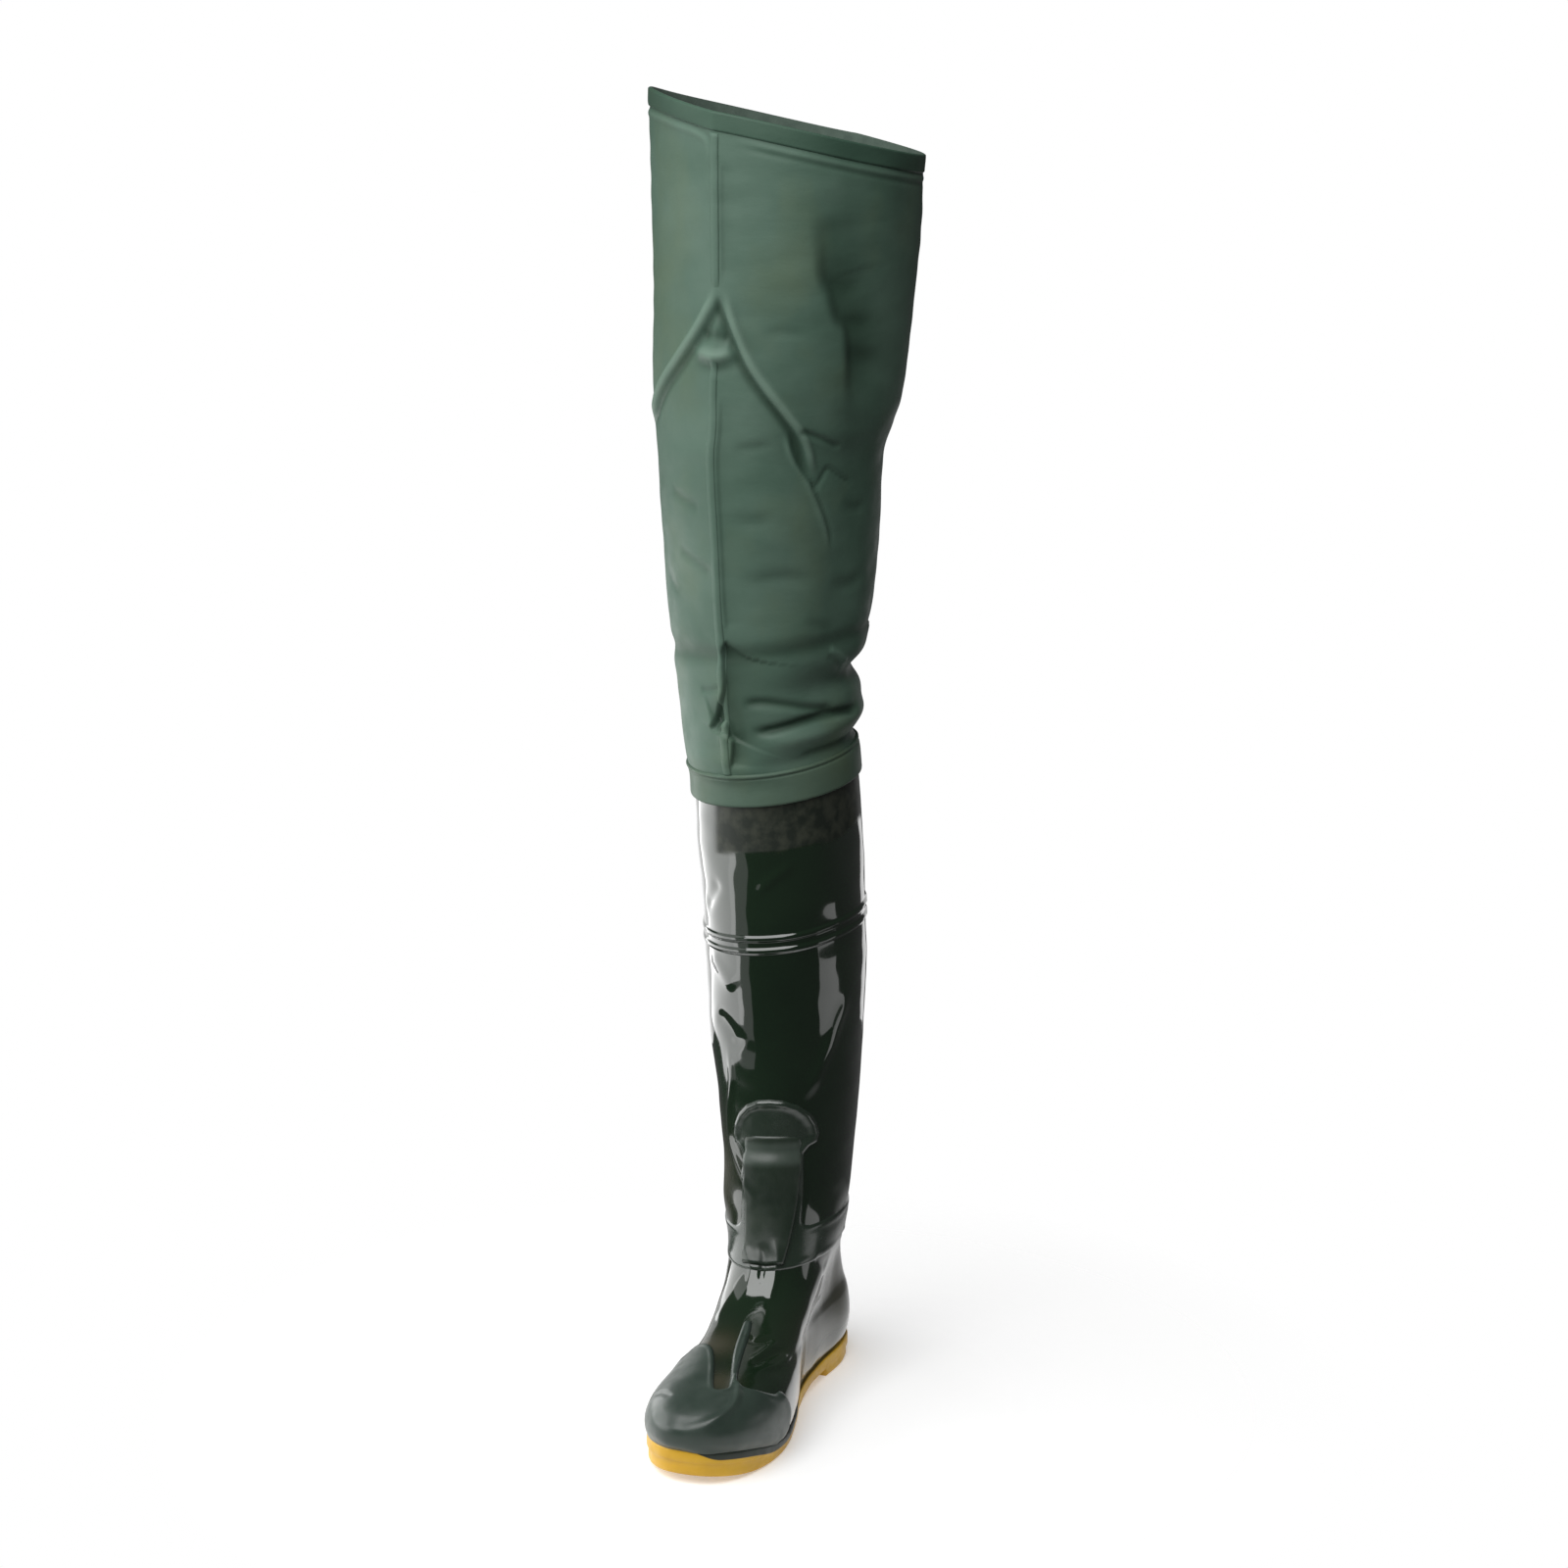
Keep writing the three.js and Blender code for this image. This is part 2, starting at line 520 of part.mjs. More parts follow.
// Places of the rings of the boot and of the leg. A plain ring nearer than this, in rows, to the ring
// of a rib or of a band's edge is left out.
const RING_GAP = 0.15;
const FOOT_PLACES = spread(0, FOOT_SECTIONS.length, 15);
const SHAFT_PLACES = spread(FOOT_SECTIONS.length, RIM, 7).slice(1);
const BOOT_PLACES = [...FOOT_PLACES, ...SHAFT_PLACES];
const BAND_TOP_HEIGHT = BOOT_HEIGHT - LEG_OVERLAP + KNEE_BAND_HEIGHT;
const HEM_LOW_HEIGHT = THIGH_HEIGHT - HEM_HEIGHT;
const BAND_TOP = placeOf(LEG, "z", BAND_TOP_HEIGHT);
const HEM_LOW = placeOf(LEG, "z", HEM_LOW_HEIGHT);
const LEG_PLACES = [0, 1, ...spread(2, 6, 8), ...spread(7, COLLAR, COLLAR - 7)]
  .filter((place) => Math.min(Math.abs(place - BAND_TOP), Math.abs(place - HEM_LOW)) > RING_GAP)
  .concat(BAND_TOP, HEM_LOW)
  .sort((a, b) => a - b);

// The rubber upper: one wall from the outsole to the rim, with two ribs moulded round the shaft.
function makeUpper() {
  const ribs = [RIB_LEVEL - RIB_SPACING / 2, RIB_LEVEL + RIB_SPACING / 2];
  const raised = ribs.flatMap((z) =>
    [-1, -RIB_FLAT, RIB_FLAT, 1].map((k) => ({
      place: placeOf(UPPER, "frontZ", z + (k * RIB_WIDTH) / 2),
      rise: Math.abs(k) < 1 ? RIB_RISE : 0,
    })),
  );
  const plain = BOOT_PLACES.map((place) => ({ place, rise: 0 })).filter(
    (row) => !raised.some((rib) => Math.abs(rib.place - row.place) < RING_GAP),
  );
  const rows = [...plain, ...raised].sort((a, b) => a.place - b.place);
  return wall(
    rows.map((row) => ring(upperPoint, row.place, row.rise, BOOT_ANGLES)),
    BOOT_PLACES.map((place) => ring(upperPoint, place, -RUBBER_WALL, BOOT_ANGLES)),
  );
}

// The outline where upper and outsole meet, moved out in plan, at heights given by a function of the
// share of the sole's length.
function soleRing(outward, height) {
  const step = 0.01;
  return BOOT_ANGLES.map((angle) => {
    const point = upperPoint(0, angle);
    const along = upperPoint(0, angle + step).sub(upperPoint(0, angle - step));
    const length = Math.hypot(along.x, along.y);
    const x = point.x + (outward * along.y) / length;
    const y = point.y - (outward * along.x) / length;
    return new THREE.Vector3(x, y, height((1 + Math.cos(angle)) / 2));
  });
}

// The outsole: a stepped side, a cupped bed, an arch behind the heel's breast, and cross grooves.
function makeOutsole() {
  const below = -ARCH_HEIGHT;
  const under = (share) => soleHeight(share, "under");
  const edge = (share) => soleHeight(share, "edge") - CLEARANCE;
  const bed = (share) => soleHeight(share, "bed") - CLEARANCE;
  const side = SOLE_SIDE.map((s) => soleRing(s.out, (share) => mix(under(share), edge(share), s.up)));
  const inside = [soleRing(-RUBBER_WALL - 1, edge), soleRing(-RUBBER_WALL - 1 - BED_SLOPE, bed)];
  const body = toSolid(stack([...side, ...inside], true));
  const hollow = ARCH.map((p) => [-SOLE_LENGTH * mix(HEEL_BREAST, ARCH_END, p.ahead), ARCH_HEIGHT * p.up]);
  const arch = [[hollow[0][0], below], ...hollow, [hollow[hollow.length - 1][0], below]];
  let sole = body.subtract(cutter(arch, "side", -BALL_WIDTH, BALL_WIDTH));
  const { front, back } = UPPER[0];
  const ballGrooves = spread(BALL_GROOVES.from, BALL_GROOVES.to, BALL_GROOVES.count - 1);
  for (const ahead of [...HEEL_GROOVES, ...ballGrooves]) {
    const y = -ahead * SOLE_LENGTH;
    const top = under(clamp01((back - y) / (front + back))) + TREAD_DEPTH;
    const groove = [
      [y - TREAD_WIDTH / 2 - GROOVE_DRAFT, below],
      [y - TREAD_WIDTH / 2, top],
      [y + TREAD_WIDTH / 2, top],
      [y + TREAD_WIDTH / 2 + GROOVE_DRAFT, below],
    ];
    sole = sole.subtract(cutter(groove, "side", -BALL_WIDTH, BALL_WIDTH));
  }
  return toGeometry(sole);
}

// The insole lies in the outsole's bed.
function makeInsole() {
  const inset = -RUBBER_WALL - INSOLE_INSET;
  const bed = (share) => soleHeight(share, "bed");
  const top = (share) => bed(share) + INSOLE_THICKNESS;
  return stack([soleRing(inset, bed), soleRing(inset, top)], true);
}

// The fabric leg: a thin tube from its overlap on the rubber rim to the slanted collar.
function makeLeg() {
  return wall(
    LEG_PLACES.map((place) => ring(legPoint, place, 0, LEG_ANGLES)),
    LEG_PLACES.map((place) => ring(legPoint, place, -LEG_WALL, LEG_ANGLES)),
  );
}

// A band that lies round the leg, over some of the leg's own rings.
function makeBand(places) {
  return wall(
    places.map((place) => ring(legPoint, place, CLEARANCE + TRIM_WALL, LEG_ANGLES)),
    places.map((place) => ring(legPoint, place, CLEARANCE, LEG_ANGLES)),
  );
}

// The welded strip down the leg's front crease, between the knee band and the hem, cut from two larger
// forms of the leg itself.
function makeFrontSeam() {
  const low = placeOf(LEG, "z", BAND_TOP_HEIGHT + 2 * CLEARANCE);
  const high = placeOf(LEG, "z", HEM_LOW_HEIGHT - 2 * CLEARANCE);
  const between = LEG_PLACES.filter((place) => place > BAND_TOP && place < HEM_LOW);
  const form = (distance, longer) => {
    const places = [low - longer, ...between, high + longer];
    return toSolid(stack(places.map((place) => ring(legPoint, place, distance, LEG_ANGLES)), true));
  };
  const line = [BAND_TOP, ...between, HEM_LOW].map((place) => legPoint(place, 0));
  line[0].z -= KNEE_BAND_HEIGHT;
  line[line.length - 1].z += COLLAR_SLANT;
  const edge = (shift) => line.map((p) => [p.x + shift, p.z]);
  const outline = [...edge(SEAM_WIDTH / 2), ...edge(-SEAM_WIDTH / 2).reverse()];
  const strip = form(CLEARANCE + TRIM_WALL, 0).subtract(form(CLEARANCE, RING_GAP));
  return toGeometry(strip.intersect(cutter(outline, "front", 0, 2 * LEG_WIDTH)));
}

// A closed form of the boot's own shape, moved out, over the rings up to a height. Its lowest ring lies
// some way below the line where the upper meets the outsole, or on that line.
function bootForm(distance, top, below) {
  const places = BOOT_PLACES.filter((place) => column(UPPER, "frontZ", place) < top);
  const rows = places.map((place) => ring(upperPoint, place, distance, BOOT_ANGLES));
  rows[0] = rows[0].map((p, j) => {
    const level = upperPoint(0, BOOT_ANGLES[j]).z - below;
    return new THREE.Vector3(p.x, p.y, level);
  });
  return toSolid(stack(rows, true));
}

// An overlay of a thickness, with the space between it and the boot, inside a cutter. The form that is
// taken away is higher and deeper than the other.
function overlay(space, thickness, top, region) {
  const outer = bootForm(space + thickness, top, 0);
  const inner = bootForm(space, top + ANKLE_HEIGHT / 3, HEEL_EDGE / 4);
  return toGeometry(outer.intersect(region).subtract(inner));
}

// The outline of one of the ankle's guards, seen from the front.
function guardOutline(rows) {
  const half = (row) => row.half * SHAFT_WIDTH;
  const height = (row) => row.height * ANKLE_HEIGHT;
  return [
    ...rows.map((row) => [GUARD_MIDDLE + half(row), height(row)]),
    ...rows.map((row) => [GUARD_MIDDLE - half(row), height(row)]).reverse(),
  ];
}
const GUARD_TOP = 2 * ANKLE_HEIGHT; // above every guard
const INSIDE_SHAFT = SHAFT_WIDTH / 6; // cutters for the front start here, inside the shaft

// The shin guard: an arched panel on the front of the ankle, and a band that goes on round the back.
function makeShinGuard() {
  const panel = cutter(guardOutline(SHIN_PANEL), "front", INSIDE_SHAFT, SOLE_LENGTH);
  const low = ANKLE_BAND.low * ANKLE_HEIGHT;
  const high = ANKLE_BAND.high * ANKLE_HEIGHT;
  const strip = [
    [-BALL_WIDTH, low],
    [BALL_WIDTH, low],
    [BALL_WIDTH, high],
    [-BALL_WIDTH, high],
  ];
  const band = cutter(strip, "front", -SOLE_LENGTH, SOLE_LENGTH);
  return overlay(CLEARANCE, GUARD_WALL, GUARD_TOP, panel.add(band));
}

// The instep plate lies on the shin guard.
function makeInstepPlate() {
  const region = cutter(guardOutline(INSTEP_PLATE), "front", INSIDE_SHAFT, SOLE_LENGTH);
  return overlay(2 * CLEARANCE + GUARD_WALL, PLATE_WALL, GUARD_TOP, region);
}

// The toe guard, with its keyhole notch.
function makeToeGuard() {
  const outline = TOE_GUARD.map((p) => [(p.medial * BALL_WIDTH) / 2, -p.ahead * SOLE_LENGTH]);
  return overlay(CLEARANCE, GUARD_WALL, ANKLE_HEIGHT, cutter(outline, "top", 0, ANKLE_HEIGHT));
}

const group = new THREE.Group();
function add(name, geometry, material) {
  const mesh = new THREE.Mesh(geometry, material);
  mesh.name = name;
  group.add(mesh);
}

add("outsole", makeOutsole(), SOLE_YELLOW);
add("insole", makeInsole(), INSOLE_GREY);
add("upper", makeUpper(), RUBBER_GREEN);
add("toe_guard", makeToeGuard(), TOE_GREEN);
add("shin_guard", makeShinGuard(), GUARD_GREEN);
add("instep_plate", makeInstepPlate(), PLATE_GREEN);
add("leg", makeLeg(), FABRIC_GREEN);
add("knee_band", makeBand(LEG_PLACES.filter((place) => place <= BAND_TOP)), BAND_GREEN);
add("collar_hem", makeBand(LEG_PLACES.filter((place) => place >= HEM_LOW)), HEM_GREEN);
add("front_seam", makeFrontSeam(), SEAM_GREEN);

export default group;
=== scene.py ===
"""Thigh boot for the right foot: its looks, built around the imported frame.

The shapes are worked out in millimetres and made in metres. The toe points to -Y, the inner (medial)
side is +X, and the origin is on the ground under the heel.
"""

import math

import bpy
import numpy as np
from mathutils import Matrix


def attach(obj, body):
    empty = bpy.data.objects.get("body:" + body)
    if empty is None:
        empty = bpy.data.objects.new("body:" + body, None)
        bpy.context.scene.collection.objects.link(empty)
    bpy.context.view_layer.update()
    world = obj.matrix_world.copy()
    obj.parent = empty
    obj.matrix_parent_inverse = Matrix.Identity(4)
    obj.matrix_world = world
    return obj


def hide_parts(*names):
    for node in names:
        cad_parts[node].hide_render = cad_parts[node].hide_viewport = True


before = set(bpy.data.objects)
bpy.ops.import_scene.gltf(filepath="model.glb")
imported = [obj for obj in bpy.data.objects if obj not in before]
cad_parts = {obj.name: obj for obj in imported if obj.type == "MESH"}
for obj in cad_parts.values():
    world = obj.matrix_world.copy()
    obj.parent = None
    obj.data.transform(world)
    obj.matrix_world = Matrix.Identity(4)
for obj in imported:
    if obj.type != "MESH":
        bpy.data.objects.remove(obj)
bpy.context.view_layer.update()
MM = 0.001

# Driving sizes, as in the frame
SOLE_LENGTH = 294
BALL_WIDTH = 103
TOE_SWING = 4
ANKLE_HEIGHT = 142
SHAFT_WIDTH = 110
BOOT_HEIGHT = 460
LEG_OVERLAP = 15
RIM_SLANT = 3.5
RIM_DIP = 6
LEG_WIDTH = 192
THIGH_HEIGHT = 912
COLLAR_SLANT = 22
COLLAR_PEAK = 3
COLLAR_FACING = 27
LATERAL_LEAN = 19
RUBBER_WALL = 2.6
LEG_WALL = 0.9
TRIM_WALL = 1.1
GUARD_WALL = 1.5
GUARD_SINK = 0.5
PLATE_WALL = 3
CLEARANCE = 0.3
HEEL_EDGE = 18
TREAD_DEPTH = 3.4
TREAD_WIDTH = 3.2
SOLE_FLANGE = 2
SOLE_STEP = 1.2
ARCH_HEIGHT = 6.5
BED_SLOPE = 4
KNEE_BAND_HEIGHT = 24
HEM_HEIGHT = 13
SEAM_WIDTH = 7
RIB_DROP = 116
RIB_LEVEL = BOOT_HEIGHT - RIB_DROP
RIB_SPACING = 9
RIB_WIDTH = 4.4
RIB_RISE = 1.4
GUARD_MIDDLE = 4
END_POWER = 0.8
OVAL_POWER = 0.94
CREASE_POWER = 7
FOOT_LEAN = 0.1
COLLAR_START = 0.35
TILT_END = 0.4
FOLD_START = 0.04

# Where the roughened strip under the knee band starts, and how dull olive patches weigh on the gloss
BAND_LEVEL = 411
OLIVE_DULLNESS = 0.7

# The photo's view: degrees to the inner side of the front and down, distance and height in metres
VIEW_TURN = 20
VIEW_DROP = 13.2
VIEW_DISTANCE = 2.5
VIEW_HEIGHT = 1.04
VIEW_LENS = 83.3

# Foot outline, heel to toe: half widths as shares of half the ball width
OUTLINE = dict(
    at=[0, 0.12, 0.28, 0.45, 0.62, 0.74, 0.88, 1],
    medial=[1.06, 0.94, 0.7, 0.66, 0.9, 1.06, 1.14, 1.16],
    lateral=[1.02, 0.98, 0.88, 0.88, 0.92, 1.04, 1.14, 1.12],
)

# Heights along the outsole as shares of the heel's edge
SOLE_HEIGHTS = dict(
    at=[0, 0.2, 0.38, 0.55, 0.68, 0.8, 0.9, 1],
    edge=[1, 0.94, 0.84, 0.64, 0.58, 0.76, 1.15, 1.45],
    bed=[0.8, 0.78, 0.72, 0.56, 0.5, 0.52, 0.64, 0.85],
    under=[0, 0, 0, 0, 0, 0.02, 0.12, 0.4],
)

# Sections of the foot: shares of the sole length, of half the ball width, and of the way up to the ankle
FOOT_SECTIONS = dict(
    front=[0.853, 0.861, 0.858, 0.837, 0.79, 0.71, 0.6, 0.48, 0.378, 0.313],
    back=[0.126, 0.134, 0.14, 0.144, 0.144, 0.141, 0.137, 0.133, 0.13, 0.136],
    medial=[0.97, 1.03, 1.05, 1.03, 0.97, 0.87, 0.81, 0.77, 0.76, 0.78],
    lateral=[0.92, 0.945, 0.93, 0.85, 0.71, 0.6, 0.55, 0.59, 0.64, 0.72],
    toe_up=[0, 0.063, 0.13, 0.198, 0.253, 0.283, 0.326, 0.4, 0.522, 0.737],
    heel_up=[0, 0.061, 0.13, 0.198, 0.279, 0.364, 0.462, 0.576, 0.702, 0.84],
    wave=[1, 0.95, 0.8, 0.6, 0.45, 0.3, 0.15, 0, 0, 0],
    oval=[0, 0, 0, 0.05, 0.12, 0.25, 0.45, 0.65, 0.85, 1],
)

# Sections of the shaft as shares of its width, with its lean and turn
SHAFT_SECTIONS = dict(
    height=[0, 0.1, 0.2, 0.35, 0.51, 0.67, 0.83, 1],
    front=[0.745, 0.715, 0.71, 0.715, 0.725, 0.73, 0.73, 0.73],
    back=[0.4, 0.425, 0.45, 0.475, 0.495, 0.505, 0.51, 0.51],
    medial=[0.4, 0.42, 0.44, 0.485, 0.51, 0.515, 0.525, 0.52],
    lateral=[0.375, 0.39, 0.405, 0.445, 0.485, 0.495, 0.505, 0.5],
    shift=[0.15, 0.18, 0.2, 0.24, 0.31, 0.42, 0.6, 0.82],
    turn=[4, 5, 6, 7, 7, 6, 6, 5],
)

# Sections of the fabric leg as shares of the width of the thigh opening
LEG_SECTIONS = dict(
    height=[0.026, 0.064, 0.142, 0.219, 0.274, 0.387, 0.498, 0.553, 0.608, 0.719, 0.885, 1],
    front=[0.44, 0.447, 0.458, 0.472, 0.484, 0.508, 0.524, 0.532, 0.54, 0.55, 0.553, 0.555],
    back=[0.315, 0.322, 0.342, 0.358, 0.379, 0.416, 0.442, 0.455, 0.468, 0.489, 0.5, 0.5],
    side=[0.3, 0.31, 0.335, 0.357, 0.37, 0.386, 0.402, 0.428, 0.446, 0.462, 0.478, 0.482],
    shift=[0.9, 0.93, 0.96, 0.95, 0.98, 0.98, 1.02, 0.88, 0.74, 0.58, 0.44, 0.42],
    turn=[5, 5, 5, 5, 5, 5, 5, 5, 6, 6, 7, 7],
    crease=[0.012, 0.016, 0.02, 0.024, 0.028, 0.03, 0.032, 0.034, 0.035, 0.036, 0.038, 0.04],
)

# The large folds above the knee band
FOLDS = [
    dict(height=0.142, depth=0.05, reach=0.055, middle=115, span=110),
    dict(height=0.068, depth=-0.02, reach=0.04, middle=100, span=105),
    dict(height=0.03, depth=0.018, reach=0.03, middle=105, span=105),
]

# Outlines of the guards: half width as a share of the shaft width, height as a share of the ankle's
SHIN_PANEL = [
    (0.191, 0.775), (0.191, 1.28), (0.215, 1.31), (0.25, 1.324), (0.262, 1.37), (0.25, 1.43),
    (0.22, 1.49), (0.165, 1.54), (0.09, 1.57), (0, 1.578),
]
ANKLE_BAND = (0.711, 0.894)
INSTEP_PLATE = [(0.127, 0.732), (0.159, 1.056), (0.182, 1.33), (0.17, 1.372), (0.1, 1.384), (0, 1.387)]

# The toe guard from the top: share of half the ball width, and share of the sole length ahead
TOE_GUARD = [
    (1.2, 0.578), (0.97, 0.605), (0.93, 0.639), (0.835, 0.67), (0.7, 0.69), (0.563, 0.694), (0.466, 0.67),
    (0.35, 0.585), (0.214, 0.452), (0.097, 0.449), (0.175, 0.561), (0.408, 0.701), (0.388, 0.728),
    (0.291, 0.735), (0.214, 0.711), (0.039, 0.626), (-0.155, 0.558), (-0.466, 0.537), (-1.2, 0.565),
    (-1.2, 1), (1.2, 1),
]


def mix(a, b, t):
    return a + (b - a) * t


def smooth(t):
    t = np.clip(t, 0, 1)
    return t * t * (3 - 2 * t)


def bell(x, width, power=2):
    """1 at 0, falling off smoothly to both sides."""
    return np.exp(-(np.abs(x / width) ** power))


def fading(share, start, end):
    """0 at both ends of a line, and 1 between."""
    return smooth(share / start) * smooth((1 - share) / end)


def column(values, place):
    """A smooth curve through a list of values, at places counted in rows."""
    v = np.asarray(values, float)
    last = len(v) - 1
    row = np.clip(np.floor(place), 0, last - 1).astype(int)
    t = place - row
    b = v[row]
    c = v[row + 1]
    a = np.where(row > 0, v[np.maximum(row - 1, 0)], 2 * b - c)
    d = np.where(row + 2 <= last, v[np.minimum(row + 2, last)], 2 * c - b)
    return b + 0.5 * t * (c - a + t * (2 * a - 5 * b + 4 * c - d + t * (3 * (b - c) + d - a)))


def look_up(table, key, value, name):
    """The same curve, looked up by the value of a rising column."""
    keys = np.asarray(table[key], float)
    row = np.clip(np.searchsorted(keys, value) - 1, 0, len(keys) - 2)
    t = (value - keys[row]) / (keys[row + 1] - keys[row])
    return column(table[name], row + t)


def place_of(values, wanted):
    """The place in rows at which a rising column has a value."""
    low = 0.0
    high = len(values) - 1.0
    for _ in range(40):
        middle = (low + high) / 2
        if column(values, middle) < wanted:
            low = middle
        else:
            high = middle
    return (low + high) / 2


def sole_height(share, name):
    return HEEL_EDGE * np.maximum(0, look_up(SOLE_HEIGHTS, "at", share, name))


def both_sides(table, name_a, name_b, scale_a, scale_b):
    """A column that goes on from the foot's sections into the shaft's."""
    return [a * scale_a for a in table[name_a]] + [b * scale_b for b in SHAFT_SECTIONS[name_b]]


# The rubber boot's sections in millimetres
FOOT_ROWS = len(FOOT_SECTIONS["front"])
SHAFT_ROWS = len(SHAFT_SECTIONS["height"])
SHAFT_Z = [mix(ANKLE_HEIGHT, BOOT_HEIGHT, h) for h in SHAFT_SECTIONS["height"]]
TOE_EDGE = float(sole_height(1, "edge"))
UPPER = dict(
    front=both_sides(FOOT_SECTIONS, "front", "front", SOLE_LENGTH, SHAFT_WIDTH),
    back=both_sides(FOOT_SECTIONS, "back", "back", SOLE_LENGTH, SHAFT_WIDTH),
    medial=both_sides(FOOT_SECTIONS, "medial", "medial", BALL_WIDTH / 2, SHAFT_WIDTH),
    lateral=both_sides(FOOT_SECTIONS, "lateral", "lateral", BALL_WIDTH / 2, SHAFT_WIDTH),
    front_z=[mix(TOE_EDGE, ANKLE_HEIGHT, u) for u in FOOT_SECTIONS["toe_up"]] + SHAFT_Z,
    back_z=[mix(HEEL_EDGE, ANKLE_HEIGHT, u) for u in FOOT_SECTIONS["heel_up"]] + SHAFT_Z,
    wave=FOOT_SECTIONS["wave"] + [0] * SHAFT_ROWS,
    oval=FOOT_SECTIONS["oval"] + [1] * SHAFT_ROWS,
    turn=[0] * FOOT_ROWS + SHAFT_SECTIONS["turn"],
    shift=[FOOT_LEAN * o * LATERAL_LEAN for o in FOOT_SECTIONS["oval"]]
    + [s * LATERAL_LEAN for s in SHAFT_SECTIONS["shift"]],
    swing=[(1 - o) * TOE_SWING for o in FOOT_SECTIONS["oval"]] + [0] * SHAFT_ROWS,
)
RIM = FOOT_ROWS + SHAFT_ROWS - 1


def rim_tilt(angle):
    return RIM_SLANT * np.sin(angle) - RIM_DIP * np.cos(angle)


def turned(x, y, z, turn, shift):
    """Points turned about Z and moved to the lateral side."""
    turn = np.radians(turn)
    along = x * np.cos(turn) + y * np.sin(turn)
    across = y * np.cos(turn) - x * np.sin(turn)
    return np.stack([along - shift, across, z], -1)


def boot_form(place, angle):
    """The rubber boot's outer surface in millimetres, angle 0 at the front and a quarter turn medial."""
    place, angle = np.broadcast_arrays(np.asarray(place, float), np.asarray(angle, float))
    get = {name: column(values, place) for name, values in UPPER.items()}
    share = (1 + np.cos(angle)) / 2
    medial = np.sin(angle) >= 0
    ends = (2 * np.sqrt(np.maximum(0, share * (1 - share)))) ** END_POWER
    inner = look_up(OUTLINE, "at", share, "medial")
    outline = ends * np.where(medial, inner, look_up(OUTLINE, "at", share, "lateral"))
    full = np.abs(np.sin(angle)) ** OVAL_POWER
    width = np.where(medial, get["medial"], get["lateral"]) * mix(outline, full, np.clip(get["oval"], 0, 1))
    x = np.sign(np.sin(angle)) * width + get["swing"] * smooth((share - 0.5) * 2)
    y = get["back"] - (get["front"] + get["back"]) * share
    line = mix(sole_height(0, "edge"), sole_height(1, "edge"), share)
    z = mix(get["back_z"], get["front_z"], share) + get["wave"] * (sole_height(share, "edge") - line)
    z = z + smooth(2 * z / RIB_LEVEL - 1) * rim_tilt(angle)
    return turned(x, y, z, get["turn"], get["shift"])


def rim_section(z):
    """A section of the leg where it lies over the rubber rim."""
    place = place_of(UPPER["front_z"], z)
    section = {name: float(column(UPPER[name], place)) for name in ("shift", "turn")}
    for name in ("front", "back", "medial", "lateral"):
        section[name] = float(column(UPPER[name], place)) + 2 * CLEARANCE + LEG_WALL
    return dict(section, z=z, crease=0)


RIM_ROWS = [rim_section(BOOT_HEIGHT - LEG_OVERLAP), rim_section(BOOT_HEIGHT)]


def leg_column(name, values):
    return [row[name] for row in RIM_ROWS] + list(values)


LEG = dict(
    z=leg_column("z", [mix(BOOT_HEIGHT, THIGH_HEIGHT, h) for h in LEG_SECTIONS["height"]]),
    front=leg_column("front", [v * LEG_WIDTH for v in LEG_SECTIONS["front"]]),
    back=leg_column("back", [v * LEG_WIDTH for v in LEG_SECTIONS["back"]]),
    medial=leg_column("medial", [v * LEG_WIDTH for v in LEG_SECTIONS["side"]]),
    lateral=leg_column("lateral", [v * LEG_WIDTH for v in LEG_SECTIONS["side"]]),
    shift=leg_column("shift", [v * LATERAL_LEAN for v in LEG_SECTIONS["shift"]]),
    turn=leg_column("turn", LEG_SECTIONS["turn"]),
    crease=leg_column("crease", [v * LEG_WIDTH for v in LEG_SECTIONS["crease"]]),
)
COLLAR = len(LEG["z"]) - 1
LEG_HEIGHT = THIGH_HEIGHT - BOOT_HEIGHT
BAND_TOP = place_of(LEG["z"], BOOT_HEIGHT - LEG_OVERLAP + KNEE_BAND_HEIGHT)
HEM_LOW = place_of(LEG["z"], THIGH_HEIGHT - HEM_HEIGHT)


def share_up(place):
    """How far up the fabric leg a place is, from the rim (0) to the collar (1)."""
    return (column(LEG["z"], place) - BOOT_HEIGHT) / LEG_HEIGHT


def fold_depth(up, angle):
    """How far the large folds push a point of the leg inwards."""
    degrees = np.degrees(angle)
    depth = np.zeros_like(up)
    for fold in FOLDS:
        away = np.abs((degrees - fold["middle"] + 540) % 360 - 180) / fold["span"]
        across = (up - fold["height"]) * LEG_HEIGHT / (fold["reach"] * LEG_WIDTH)
        round_it = np.maximum(0, 1 - away * away) ** 2
        depth = depth + fold["depth"] * LEG_WIDTH * bell(across, 1) * round_it
    return depth * smooth(up / FOLD_START)


